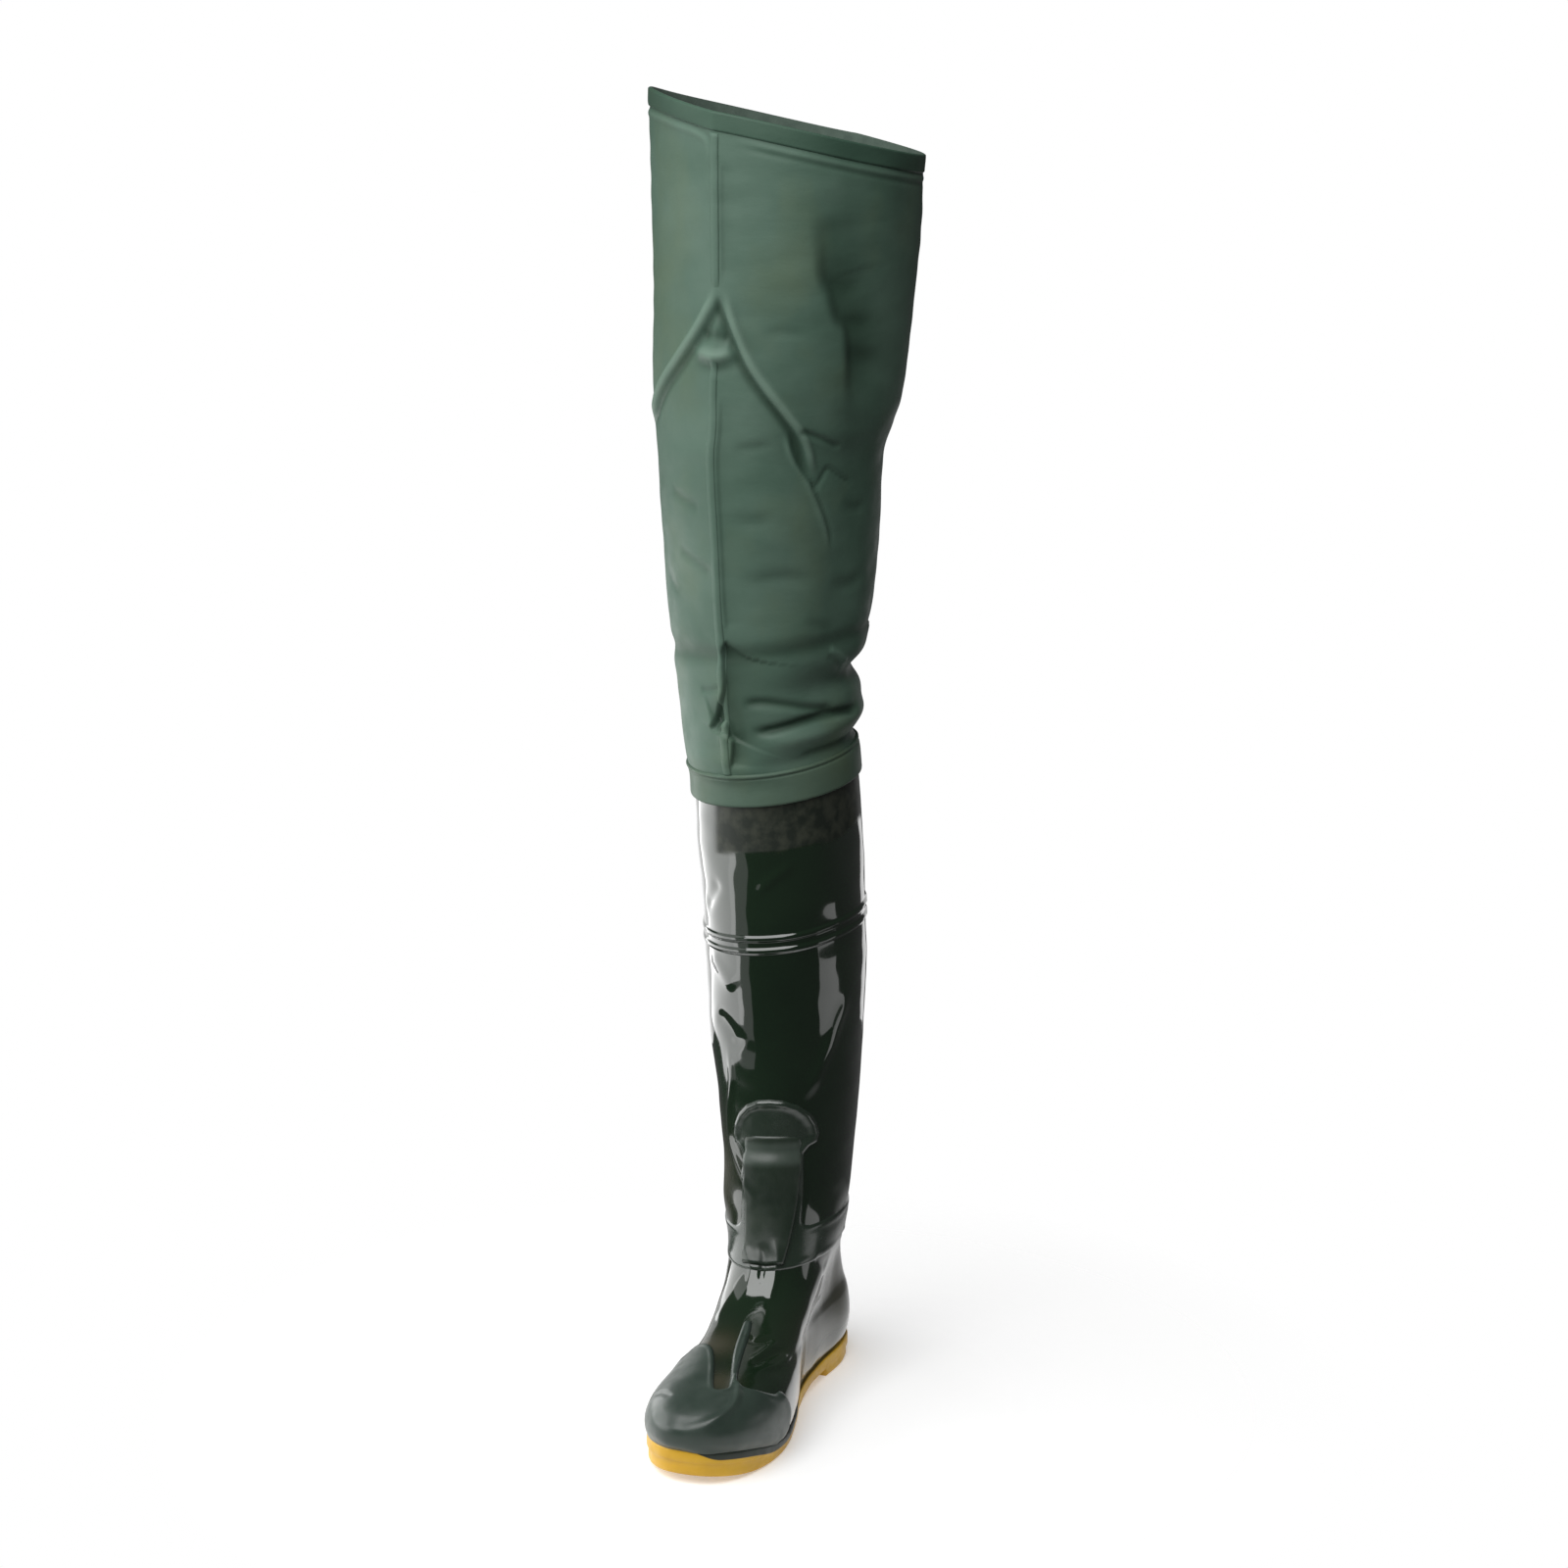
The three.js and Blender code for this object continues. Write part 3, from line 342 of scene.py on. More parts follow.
def leg_form(place, angle):
    """The fabric leg's outer surface in millimetres, before its fine creases."""
    place, angle = np.broadcast_arrays(np.asarray(place, float), np.asarray(angle, float))
    get = {name: column(values, place) for name, values in LEG.items()}
    share = (1 + np.cos(angle)) / 2
    up = (get["z"] - BOOT_HEIGHT) / LEG_HEIGHT
    front = np.exp(-np.abs(np.sin(angle / 2)) * CREASE_POWER)
    back = np.exp(-np.abs(np.cos(angle / 2)) * CREASE_POWER)
    depth = fold_depth(up, angle)
    side = np.where(np.sin(angle) >= 0, get["medial"], get["lateral"])
    width = side * np.abs(np.sin(angle)) ** OVAL_POWER
    x = np.sign(np.sin(angle)) * width - np.sin(angle) * depth
    y = get["back"] - (get["front"] + get["back"]) * share
    y = y + np.cos(angle) * depth + get["crease"] * (back - front)
    lean = np.sin(angle - np.radians(get["turn"]) - math.radians(COLLAR_FACING))
    rise = COLLAR_PEAK * np.maximum(0, -lean) ** 6 - COLLAR_SLANT * lean
    slanted = smooth((up - COLLAR_START) / (1 - COLLAR_START))
    tilted = 1 - smooth(up / TILT_END)
    return turned(x, y, get["z"] + slanted * rise + tilted * rim_tilt(angle), get["turn"], get["shift"])


def normal_of(surface, place, angle):
    """Outward normals of a surface."""
    step = 0.02
    along = surface(place + step, angle) - surface(place - step, angle)
    round_it = surface(place, angle + step) - surface(place, angle - step)
    n = np.cross(round_it, along)
    return n / np.maximum(np.linalg.norm(n, axis=-1, keepdims=True), 1e-9)


class Unrolled:
    """Arc length round a surface from its front line, so that creases can be laid out in millimetres."""

    def __init__(self, surface, last):
        self.places = np.linspace(0, last, 120)
        self.angles = np.linspace(-math.pi, math.pi, 361)
        points = surface(self.places[:, None], self.angles[None, :])
        steps = np.linalg.norm(np.diff(points, axis=1), axis=2)
        arc = np.concatenate([np.zeros((len(self.places), 1)), np.cumsum(steps, axis=1)], axis=1)
        self.arc = arc - arc[:, 180:181]

    def __call__(self, place, angle):
        angle = (np.asarray(angle) + math.pi) % (2 * math.pi) - math.pi
        i = np.clip(place / self.places[-1] * (len(self.places) - 1), 0, len(self.places) - 1.001)
        j = np.clip((angle + math.pi) / (2 * math.pi) * 360, 0, 359.999)
        a = i.astype(int)
        b = j.astype(int)
        s = i - a
        t = j - b
        low = mix(self.arc[a, b], self.arc[a, b + 1], t)
        high = mix(self.arc[a + 1, b], self.arc[a + 1, b + 1], t)
        return mix(low, high, s)


leg_arc = Unrolled(leg_form, COLLAR)


def curve_through(points, per_span=6):
    """A smooth open line through a few given points."""
    points = np.asarray(points, float)
    t = np.linspace(0, len(points) - 1, (len(points) - 1) * per_span + 1)
    return np.stack([column(points[:, k], t) for k in range(points.shape[1])], -1)


def along_line(line, x, y):
    """Distance to a line, the side it lies on (+1 to the left of its run), and the share along it."""
    best = np.full(x.shape, 1e9)
    side = np.ones(x.shape)
    at = np.zeros(x.shape)
    lengths = np.linalg.norm(np.diff(line, axis=0), axis=1)
    starts = np.concatenate([[0], np.cumsum(lengths)])
    for i in range(len(line) - 1):
        a = line[i]
        d = line[i + 1] - a
        t = np.clip(((x - a[0]) * d[0] + (y - a[1]) * d[1]) / max(d @ d, 1e-9), 0, 1)
        dx = x - a[0] - t * d[0]
        dy = y - a[1] - t * d[1]
        away = np.hypot(dx, dy)
        near = away < best
        best = np.where(near, away, best)
        side = np.where(near, np.where(d[0] * dy - d[1] * dx >= 0, 1.0, -1.0), side)
        at = np.where(near, (starts[i] + t * lengths[i]) / starts[-1], at)
    return best, side, at


def crease(name, height, half, *path, shade=0, power=2):
    """A crease of the fabric leg: height of its ridge in mm (a trough is negative), half width in mm, and
    points as (degrees round from the front, share of the leg's height). Shade is the depth of a trough
    along the line's left (+) or right (-) side, and power 4 gives a flat-topped welt."""
    return dict(name=name, height=height, half=half, path=path, shade=shade, power=power)


LEG_CREASES = [
    crease("collar weld, lateral", 0.9, 2.4, (-120, 0.963), (-60, 0.962), (-27, 0.961), (-9, 0.96),
           (-3, 0.948), (-3, 0.9), shade=0.7),
    crease("collar weld, medial", 0.8, 2.0, (6, 0.962), (40, 0.962), (80, 0.962), (130, 0.962),
           shade=-0.6),
    crease("left arm", 2.6, 3.8, (2, 0.752), (-8, 0.69), (-21, 0.636), (-38, 0.584), (-58, 0.53),
           shade=2.0, power=4),
    crease("right arm", 2.6, 3.4, (2, 0.752), (9, 0.688), (17, 0.638), (33, 0.575), (44, 0.53),
           (52, 0.469), shade=-2.8, power=4),
    crease("hook", -1.3, 1.7, (49, 0.48), (51, 0.463), (55, 0.478), (58, 0.491), (64, 0.48), (76, 0.458)),
    crease("second line", 1.3, 2.0, (32, 0.55), (39, 0.505), (47, 0.467), (57, 0.4), (62, 0.357),
           shade=1.4),
    crease("arm's branch", -1.6, 2.2, (38, 0.553), (50, 0.54), (64, 0.522)),
    crease("pocket", -1.8, 3.6, (-6, 0.676), (0, 0.68), (6, 0.676)),
    crease("pocket lip", 3.2, 4.4, (-13, 0.657), (-5, 0.654), (2, 0.653), (12, 0.667), shade=-1.4),
    crease("upper crease", -2.6, 3.0, (10, 0.131), (29, 0.129), (55, 0.111), (76, 0.098)),
    crease("deep crease", -4.2, 3.2, (15, 0.087), (30, 0.087), (53, 0.093), (78, 0.09), (102, 0.078)),
    crease("roll under it", 1.4, 5, (20, 0.064), (50, 0.066), (80, 0.062)),
    crease("low crease", -1.5, 3, (48, 0.034), (62, 0.036), (74, 0.035), (95, 0.031)),
    crease("sheen fold", 1.4, 3, (66, 0.2), (74, 0.185), (84, 0.165), shade=-0.8),
    crease("flap fold", -1.0, 2.2, (-16, 0.149), (-7, 0.151), (0, 0.157)),
    crease("side wrinkle 1", -1.1, 3, (-30, 0.45), (-18, 0.438), (-7, 0.426)),
    crease("side wrinkle 2", -1.2, 3, (-26, 0.36), (-12, 0.345), (-2, 0.328)),
    crease("side wrinkle 3", -1.0, 4, (-50, 0.33), (-36, 0.3), (-22, 0.29)),
    crease("shin wrinkle 1", -1.3, 5, (6, 0.325), (20, 0.322), (38, 0.325), (56, 0.31)),
    crease("shin wrinkle 2", -1.0, 5, (6, 0.415), (20, 0.412), (34, 0.42)),
    crease("shin wrinkle 3", -0.9, 4, (8, 0.52), (20, 0.525), (30, 0.53)),
    crease("dent wrinkle 1", -1.0, 6, (43, 0.79), (54, 0.775), (70, 0.79)),
    crease("dent wrinkle 2", -1.1, 6, (50, 0.728), (60, 0.72), (78, 0.735)),
    crease("dent wrinkle 3", -0.9, 7, (38, 0.85), (50, 0.87), (68, 0.88)),
    crease("dent wrinkle 4", -0.9, 7, (56, 0.66), (66, 0.67), (84, 0.66)),
    crease("thigh wrinkle", -0.7, 4, (18, 0.69), (30, 0.7), (42, 0.695)),
    crease("side line 1", -1.2, 4, (66, 0.44), (78, 0.42), (90, 0.43)),
    crease("side line 2", -1.3, 5, (62, 0.31), (76, 0.3), (92, 0.31)),
    crease("side line 3", -1.2, 5, (44, 0.25), (58, 0.24), (72, 0.225)),
    crease("back crease 1", -2.2, 7, (120, 0.2), (150, 0.215), (180, 0.19)),
    crease("back crease 2", -1.5, 8, (150, 0.32), (175, 0.31), (205, 0.33)),
    crease("back crease 3", -2.6, 6, (160, 0.12), (190, 0.1), (225, 0.11)),
    crease("back crease 4", -1.6, 7, (210, 0.24), (232, 0.21), (255, 0.22)),
]

# Lines along which the cloth steps down on the right: points, depth in mm, and reach of the low side
LEG_STEPS = [
    dict(name="knee pleat", path=[(4, 0.232), (0, 0.208), (1, 0.16), (-3, 0.125), (-9, 0.091)],
         depth=3.4, high=9, low=34, edge=2.4, start=0.12, end=0.03),
    dict(name="lower pleat", path=[(-7, 0.095), (0, 0.1), (3, 0.08), (5, 0.07), (3, 0.028)],
         depth=3.2, high=7, low=15, edge=2.4, start=0.08, end=0.12),
    dict(name="thigh dent",
         path=[(38, 0.9), (42, 0.84), (44, 0.787), (48, 0.762),
               (52, 0.726), (58, 0.7), (62, 0.62), (66, 0.57)],
         depth=4.2, high=22, low=36, edge=14, start=0.45, end=0.3),
    dict(name="seam shadow", path=[(2.6, 0.93), (2.6, 0.84), (3, 0.76)],
         depth=0.8, high=3, low=9, edge=3, start=0.1, end=0.1),
    dict(name="shin shadow", path=[(3, 0.6), (3.2, 0.45), (3.4, 0.3), (4, 0.24)],
         depth=1.0, high=3, low=12, edge=3, start=0.1, end=0.05),
]

# Soft dents of the fabric leg: degrees, share of the height, half sizes in mm, and depth in mm
LEG_DENTS = [
    dict(at=(66, 0.79), reach=(24, 34), depth=3.0),
    dict(at=(70, 0.6), reach=(18, 34), depth=2.0),
    dict(at=(24, 0.86), reach=(26, 60), depth=-1.2),
    dict(at=(-40, 0.82), reach=(28, 55), depth=1.5),
    dict(at=(34, 0.46), reach=(22, 34), depth=-1.4),
    dict(at=(70, 0.28), reach=(22, 40), depth=1.8),
    dict(at=(30, 0.175), reach=(30, 16), depth=1.6),
    dict(at=(150, 0.7), reach=(50, 60), depth=3.0),
    dict(at=(215, 0.55), reach=(45, 50), depth=2.4),
]


def on_leg(points):
    """Given (degrees, share of height) points as arc length and height in millimetres."""
    place = np.array([place_of(LEG["z"], mix(BOOT_HEIGHT, THIGH_HEIGHT, up)) for _, up in points])
    degrees = np.array([d for d, _ in points], float)
    base = leg_arc(place, np.radians(degrees))
    half_round = np.full(len(place), math.pi - 1e-4)
    whole = leg_arc(place, half_round) - leg_arc(place, -half_round)
    arc = np.where(degrees > 180, base + whole, base)
    return np.stack([arc, [mix(BOOT_HEIGHT, THIGH_HEIGHT, up) for _, up in points]], -1)


def waves(points, seed, longest, count=7):
    """A soft unevenness between about -1 and 1: a few waves in seeded directions."""
    random = np.random.default_rng(seed)
    total = np.zeros(points.shape[:-1])
    for _ in range(count):
        direction = random.normal(size=3)
        direction = direction / np.linalg.norm(direction)
        length = longest * random.uniform(0.45, 1)
        phase = random.uniform(0, 2 * math.pi)
        total += np.sin(points @ direction * (2 * math.pi / length) + phase)
    return total / math.sqrt(count)


def leg_relief(place, angle, points):
    """How far the leg's fine creases stand out in millimetres, and the painted tone of the cloth there:
    ridges painted lighter as a painted highlight (above 0), and the bottoms of creases and the low sides
    of steps painted darker as painted shade (below 0)."""
    arc = leg_arc(place, angle)
    z = column(LEG["z"], place)
    up = (z - BOOT_HEIGHT) / LEG_HEIGHT
    whole = leg_arc(place, np.full(place.shape, math.pi - 1e-4)) * 2
    relief = np.zeros(place.shape)
    tone = np.zeros(place.shape)
    for line_of in LEG_CREASES:
        line = curve_through(on_leg(line_of["path"]))
        across = arc + np.where((line[:, 0].mean() - arc) > whole / 2, whole, 0)
        away, side, at = along_line(line, across, z)
        half = line_of["half"]
        fade = 0.42 if half >= 4 else 0.16
        ends = fading(at, fade, fade)
        ridge = line_of["height"] * ends * bell(away, half, line_of["power"])
        relief += ridge
        # painted highlight: a raised ridge is painted lighter
        tone += 0.28 * ridge
        lee = side == np.sign(line_of["shade"])
        trough = abs(line_of["shade"]) * ends * bell(away - 1.7 * half, half) * lee
        relief -= trough
        # painted shade: the trough beside a ridge is painted darker
        tone -= 0.3 * trough
    for fold in LEG_STEPS:
        line = curve_through(on_leg(fold["path"]))
        away, side, at = along_line(line, arc, z)
        ends = fading(at, fold["start"], fold["end"])
        low_side = -fold["depth"] * bell(away, fold["low"])
        high_side = 0.35 * fold["depth"] * bell(away, fold["high"])
        cross = smooth(-away * side / fold["edge"] + 0.5)
        relief += ends * mix(low_side, high_side, cross)
        # painted shade: the low side of a step is painted darker
        tone += 0.2 * ends * low_side * (1 - cross)
    for dent in LEG_DENTS:
        spot = on_leg([dent["at"]])[0]
        across = arc + np.where((spot[0] - arc) > whole / 2, whole, 0)
        far = ((across - spot[0]) / dent["reach"][0]) ** 2 + ((z - spot[1]) / dent["reach"][1]) ** 2
        relief -= dent["depth"] * np.exp(-far)
    relief += 0.6 * waves(points, 3, 120) + 0.2 * waves(points * [0.6, 0.6, 1.2], 5, 40, 9)
    calm = smooth((up - 0.015) / 0.035) * smooth((1 - up) / 0.035)
    return relief * calm, np.clip(tone * calm, -1, 1)


def leg_surface(place, angle):
    """The fabric leg with its fine creases."""
    place, angle = np.broadcast_arrays(np.asarray(place, float), np.asarray(angle, float))
    points = leg_form(place, angle)
    return points + normal_of(leg_form, place, angle) * leg_relief(place, angle, points)[0][..., None]


# Creases of the rubber: height of the ridge in mm (a trough is negative), half width in
# mm, and points as (degrees round from the front, row of the table of sections)
BOOT_CREASES = [
    (1.5, 2.6, [(-17, 13.3), (-15, 12.7), (-22, 12.1), (-23, 11.5), (-12, 10.9), (0, 10.45), (3, 10.2),
     (-2, 9.9)]),
    (1.6, 5.5, [(82, 13.9), (78, 13.6), (64, 13.1), (49, 12.5), (44, 12.3)]),
    (1.3, 3.2, [(12, 15.5), (15, 15.6), (26, 15.76), (36, 15.86), (40, 15.9)]),
    (-1.6, 5, [(-38, 15.2), (-26, 15.45), (-16, 15.7)]),
    (1.3, 6, [(-34, 14.6), (-18, 14.3), (-5, 14.1)]),
    (-1.5, 6, [(-30, 13.7), (-14, 13.5), (-2, 13.2)]),
    (-1.1, 2.4, [(10, 6.9), (18, 6.6), (28, 6.5), (40, 6.45)]),
    (1.2, 2.2, [(20, 6.0), (29, 5.95), (36, 6.1), (46, 6.2)]),
    (-1.1, 2.2, [(26, 5.6), (36, 5.7), (48, 5.75), (58, 5.6)]),
    (1.1, 2.2, [(34, 5.3), (44, 5.2), (54, 5.1), (64, 5.2)]),
    (1.1, 2.6, [(-12, 9.2), (-5, 8.9), (-2, 8.5), (-5, 8.2)]),
    (-1.2, 2.8, [(6, 9.3), (9, 8.9), (8, 8.5), (14, 8.2)]),
    (0.9, 3, [(18, 9.4), (20, 8.9), (22, 8.3), (20, 7.8)]),
    (-1.0, 5, [(60, 8.6), (72, 8.2), (90, 7.6)]),
    (0.9, 5, [(112, 9.4), (118, 8.4), (124, 7.2)]),
]


def near_line(line, points):
    """Distance to a line in space, and the share along it."""
    best = np.full(points.shape[:-1], 1e9)
    at = np.zeros(points.shape[:-1])
    lengths = np.linalg.norm(np.diff(line, axis=0), axis=1)
    starts = np.concatenate([[0], np.cumsum(lengths)])
    for i in range(len(line) - 1):
        d = line[i + 1] - line[i]
        t = np.clip((points - line[i]) @ d / max(d @ d, 1e-9), 0, 1)
        away = np.linalg.norm(points - line[i] - t[..., None] * d, axis=-1)
        at = np.where(away < best, (starts[i] + t * lengths[i]) / starts[-1], at)
        best = np.minimum(best, away)
    return best, at


def boot_relief(place, angle, points):
    """The soft unevenness of the dipped rubber, and its two ribs."""
    z = column(UPPER["front_z"], place)
    shaft = smooth((points[..., 2] - 60) / 120)
    lateral = smooth(-(points[..., 0] + 12) / 30)
    relief = shaft * ((0.6 + 0.35 * lateral) * waves(points, 11, 95, 11) + 0.1 * waves(points, 12, 36, 9))
    relief = relief + 0.12 * waves(points, 13, 30, 9) * (1 - shaft)
    for height, half, path in BOOT_CREASES:
        path = np.array(path, float)
        t = np.linspace(0, len(path) - 1, (len(path) - 1) * 5 + 1)
        line = boot_form(column(path[:, 1], t), np.radians(column(path[:, 0], t)))
        away, at = near_line(line, points)
        relief = relief + height * fading(at, 0.25, 0.25) * bell(away, half)
    relief = relief * smooth(place / 0.6) * smooth((BOOT_HEIGHT - 8 - z) / 20)
    for side in (-1, 1):
        off = np.abs(z - RIB_LEVEL - side * RIB_SPACING / 2) / (RIB_WIDTH / 2)
        relief = relief + RIB_RISE * smooth(1.35 - off)
    return relief


def boot_surface(place, angle):
    """The rubber boot with its unevenness."""
    place, angle = np.broadcast_arrays(np.asarray(place, float), np.asarray(angle, float))
    points = boot_form(place, angle)
    return points + normal_of(boot_form, place, angle) * boot_relief(place, angle, points)[..., None]


def half_turn(count):
    """Angles of half a turn, closer together where the outline's ends are blunt."""
    t = np.linspace(0, 1, count + 1)
    low = t ** (1 / END_POWER)
    high = (1 - t) ** (1 / END_POWER)
    return math.pi * low / (low + high)


def whole_turn(half):
    return np.concatenate([half, -half[1:-1][::-1]])


def make_object(name, points, faces, material_slots, replaces=(), material_of_face=None):
    """A smooth-shaded mesh object in metres that rides on the one body."""
    mesh = bpy.data.meshes.new(name)
    mesh.from_pydata((np.asarray(points) * MM).tolist(), [], [list(face) for face in faces])
    mesh.validate()
    for m in material_slots:
        mesh.materials.append(m)
    if material_of_face is not None:
        mesh.polygons.foreach_set("material_index", np.asarray(material_of_face, np.int32))
    mesh.polygons.foreach_set("use_smooth", np.ones(len(mesh.polygons), bool))
    mesh.update()
    piece = bpy.data.objects.new(name, mesh)
    bpy.context.scene.collection.objects.link(piece)
    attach(piece, "root")
    for node in replaces:
        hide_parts(node)
    return piece


def tube_faces(rows, cols, closed):
    """Quads of a stack of rings; with closed, the last ring joins the first."""
    i = np.arange(rows if closed else rows - 1)[:, None]
    j = np.arange(cols)[None, :]
    a = i * cols + j
    b = i * cols + (j + 1) % cols
    c = (i + 1) % rows * cols + (j + 1) % cols
    d = (i + 1) % rows * cols + j
    return np.stack(np.broadcast_arrays(a, b, c, d), -1).reshape(-1, 4)


def wall_piece(name, outer, inner, materials, replaces):
    """A closed wall between two stacks of rings. Its inner faces have the second material."""
    rows = np.concatenate([outer, inner[::-1]])
    faces = tube_faces(len(rows), rows.shape[1], True)
    which = np.repeat(np.arange(len(rows)) >= len(outer), rows.shape[1]).astype(int)
    return make_object(name, rows.reshape(-1, 3), faces, materials, replaces, which)


def paint(piece, name, values):
    """A value at each point of a piece's mesh, for its material."""
    layer = piece.data.attributes.new(name, "FLOAT", "POINT")
    layer.data.foreach_set("value", np.asarray(values, np.float32))


def offset(surface, place, angle, distance):
    return surface(place, angle) + normal_of(surface, place, angle) * np.asarray(distance)[..., None]


# Materials

def new_material(name):
    material = bpy.data.materials.new(name)
    material.use_nodes = True
    tree = material.node_tree
    shader = tree.nodes["Principled BSDF"]
    return material, tree, shader


def add_node(tree, kind, **values):
    node = tree.nodes.new(kind)
    for key, value in values.items():
        if key in node.inputs:
            node.inputs[key].default_value = value
        else:
            setattr(node, key, value)
    return node


def object_noise(tree, scale, detail=3.0, stretch=(1, 1, 1)):
    """A noise in the object's own space, with its scale per metre."""
    place = add_node(tree, "ShaderNodeTexCoord")
    mapping = add_node(tree, "ShaderNodeMapping")
    mapping.inputs["Scale"].default_value = stretch
    noise = add_node(tree, "ShaderNodeTexNoise", Scale=scale, Detail=detail)
    tree.links.new(place.outputs["Object"], mapping.inputs["Vector"])
    tree.links.new(mapping.outputs["Vector"], noise.inputs["Vector"])
    return noise.outputs["Fac"]


def ramp(tree, value, low, high, low_colour, high_colour):
    node = add_node(tree, "ShaderNodeValToRGB")
    node.color_ramp.elements[0].position = low
    node.color_ramp.elements[1].position = high
    node.color_ramp.elements[0].color = (*low_colour, 1)
    node.color_ramp.elements[1].color = (*high_colour, 1)
    tree.links.new(value, node.inputs["Fac"])
    return node.outputs["Color"]


def map_range(tree, value, from_low, from_high, to_low, to_high):
    node = add_node(tree, "ShaderNodeMapRange")
    node.inputs["From Min"].default_value = from_low
    node.inputs["From Max"].default_value = from_high
    node.inputs["To Min"].default_value = to_low
    node.inputs["To Max"].default_value = to_high
    tree.links.new(value, node.inputs["Value"])
    return node.outputs["Result"]


def blend_colours(tree, factor, a, b):
    node = add_node(tree, "ShaderNodeMix", data_type="RGBA")
    tree.links.new(factor, node.inputs["Factor"])
    for socket, value in ((node.inputs["A"], a), (node.inputs["B"], b)):
        if isinstance(value, tuple):
            socket.default_value = (*value, 1)
        else:
            tree.links.new(value, socket)
    return node.outputs["Result"]


def bump(tree, heights, shader):
    """A chain of bumps, each a (value, strength, distance in mm)."""
    last = None
    for value, strength, distance in heights:
        node = add_node(tree, "ShaderNodeBump", Strength=strength, Distance=distance * MM)
        tree.links.new(value, node.inputs["Height"])
        if last is not None:
            tree.links.new(last.outputs["Normal"], node.inputs["Normal"])
        last = node
    tree.links.new(last.outputs["Normal"], shader.inputs["Normal"])


def attribute(tree, name):
    node = add_node(tree, "ShaderNodeAttribute", attribute_name=name)
    return node.outputs["Fac"]


def fabric_material(name, dark, light):
    material, tree, shader = new_material(name)
    cloud = object_noise(tree, 11, 5)
    tint = object_noise(tree, 17, 3, (1, 1, 0.7))
    tone = ramp(tree, cloud, 0.36, 0.64, dark, light)
    olive = (light[0] * 1.12, light[1] * 0.96, light[2] * 0.74)
    patchy = map_range(tree, tint, 0.5, 0.72, 0, 0.45)
    cloth = blend_colours(tree, patchy, tone, olive)
    # painted highlight: ridges of the cloth painted lighter
    wear_and_painted_highlight = map_range(tree, attribute(tree, "tone"), 0, 0.9, 0, 0.8)
    cloth = blend_colours(tree, wear_and_painted_highlight, cloth, (light[0] * 1.7, light[1] * 1.55, light[2] * 1.6))
    # painted shade: bottoms of creases and low sides of steps painted darker
    painted_crease_shade = map_range(tree, attribute(tree, "tone"), 0, -0.9, 0, 0.8)
    cloth = blend_colours(tree, painted_crease_shade, cloth, (dark[0] * 0.4, dark[1] * 0.45, dark[2] * 0.4))
    tree.links.new(cloth, shader.inputs["Base Color"])
    grain = object_noise(tree, 900, 2)
    patches = object_noise(tree, 60, 3)
    rumple = object_noise(tree, 26, 5, (0.8, 0.8, 1.9))
    tree.links.new(map_range(tree, patches, 0.3, 0.7, 0.5, 0.66), shader.inputs["Roughness"])
    shader.inputs["Specular IOR Level"].default_value = 0.28
    bump(tree, [(rumple, 0.4, 2.0), (patches, 0.3, 0.5), (grain, 0.25, 0.12)], shader)
    return material


def gloss_material():
    """Very dark green glossy rubber; the attribute band marks the roughened strip under the fabric."""
    material, tree, shader = new_material("glossy green rubber")
    band = attribute(tree, "band")
    mottle = object_noise(tree, 110, 6)
    rough_colour = ramp(tree, mottle, 0.4, 0.62, (0.004, 0.009, 0.004), (0.026, 0.031, 0.02))
    depth = object_noise(tree, 9, 3)
    smooth_colour = ramp(tree, depth, 0.35, 0.7, (0.004, 0.012, 0.005), (0.008, 0.02, 0.009))
    olive = attribute(tree, "olive")
    tinted = blend_colours(tree, olive, smooth_colour, (0.036, 0.035, 0.018))
    tree.links.new(blend_colours(tree, band, tinted, rough_colour), shader.inputs["Base Color"])
    # the roughened band and the dull olive patches, which set roughness and coat
    wear_and_painted_highlight = add_node(tree, "ShaderNodeMath", operation="MAXIMUM")
    tree.links.new(band, wear_and_painted_highlight.inputs[0])
    tree.links.new(map_range(tree, olive, 0, 1, 0, OLIVE_DULLNESS), wear_and_painted_highlight.inputs[1])
    tree.links.new(map_range(tree, wear_and_painted_highlight.outputs[0], 0, 1, 0.08, 0.6), shader.inputs["Roughness"])
    tree.links.new(map_range(tree, wear_and_painted_highlight.outputs[0], 0, 1, 1, 0.03), shader.inputs["Coat Weight"])
    shader.inputs["Coat Roughness"].default_value = 0.03
    shader.inputs["Coat IOR"].default_value = 1.45
    ripple = object_noise(tree, 42, 2, (1, 1, 0.5))
    grain = object_noise(tree, 700, 3)
    bump(tree, [(ripple, 0.25, 1.0), (grain, 0.05, 0.1)], shader)
    return material


def rubber_start(name, cloud, dark, light, scuff, roughness, scratch, grain):
    """A matte rubber: its cloudy colour, and its scuffed and grainy surface, ready for its last colour."""
    material, tree, shader = new_material(name)
    colour = ramp(tree, object_noise(tree, cloud, 4), 0.3, 0.7, dark, light)
    scuffs = object_noise(tree, scuff, 4)
    low, high = roughness
    tree.links.new(map_range(tree, scuffs, 0.3, 0.7, low, high), shader.inputs["Roughness"])
    bump(tree, [(scuffs, scratch, 0.3), (object_noise(tree, grain, 3), 0.15, 0.1)], shader)
    return material, tree, shader, colour


def guard_material(name, dark, light, roughness, coat):
    """Rubber of a guard; the attribute ledge marks its bevelled top, painted lighter as a painted highlight.
    """
    material, tree, shader, colour = rubber_start(name, 35, dark, light, 120, roughness, 0.15, 800)
    # painted highlight: the ledge is painted lighter
    lighter = blend_colours(tree, attribute(tree, "ledge"), colour, (0.042, 0.058, 0.046))
    tree.links.new(lighter, shader.inputs["Base Color"])
    shader.inputs["Coat Weight"].default_value = coat
    shader.inputs["Coat Roughness"].default_value = 0.2
    return material


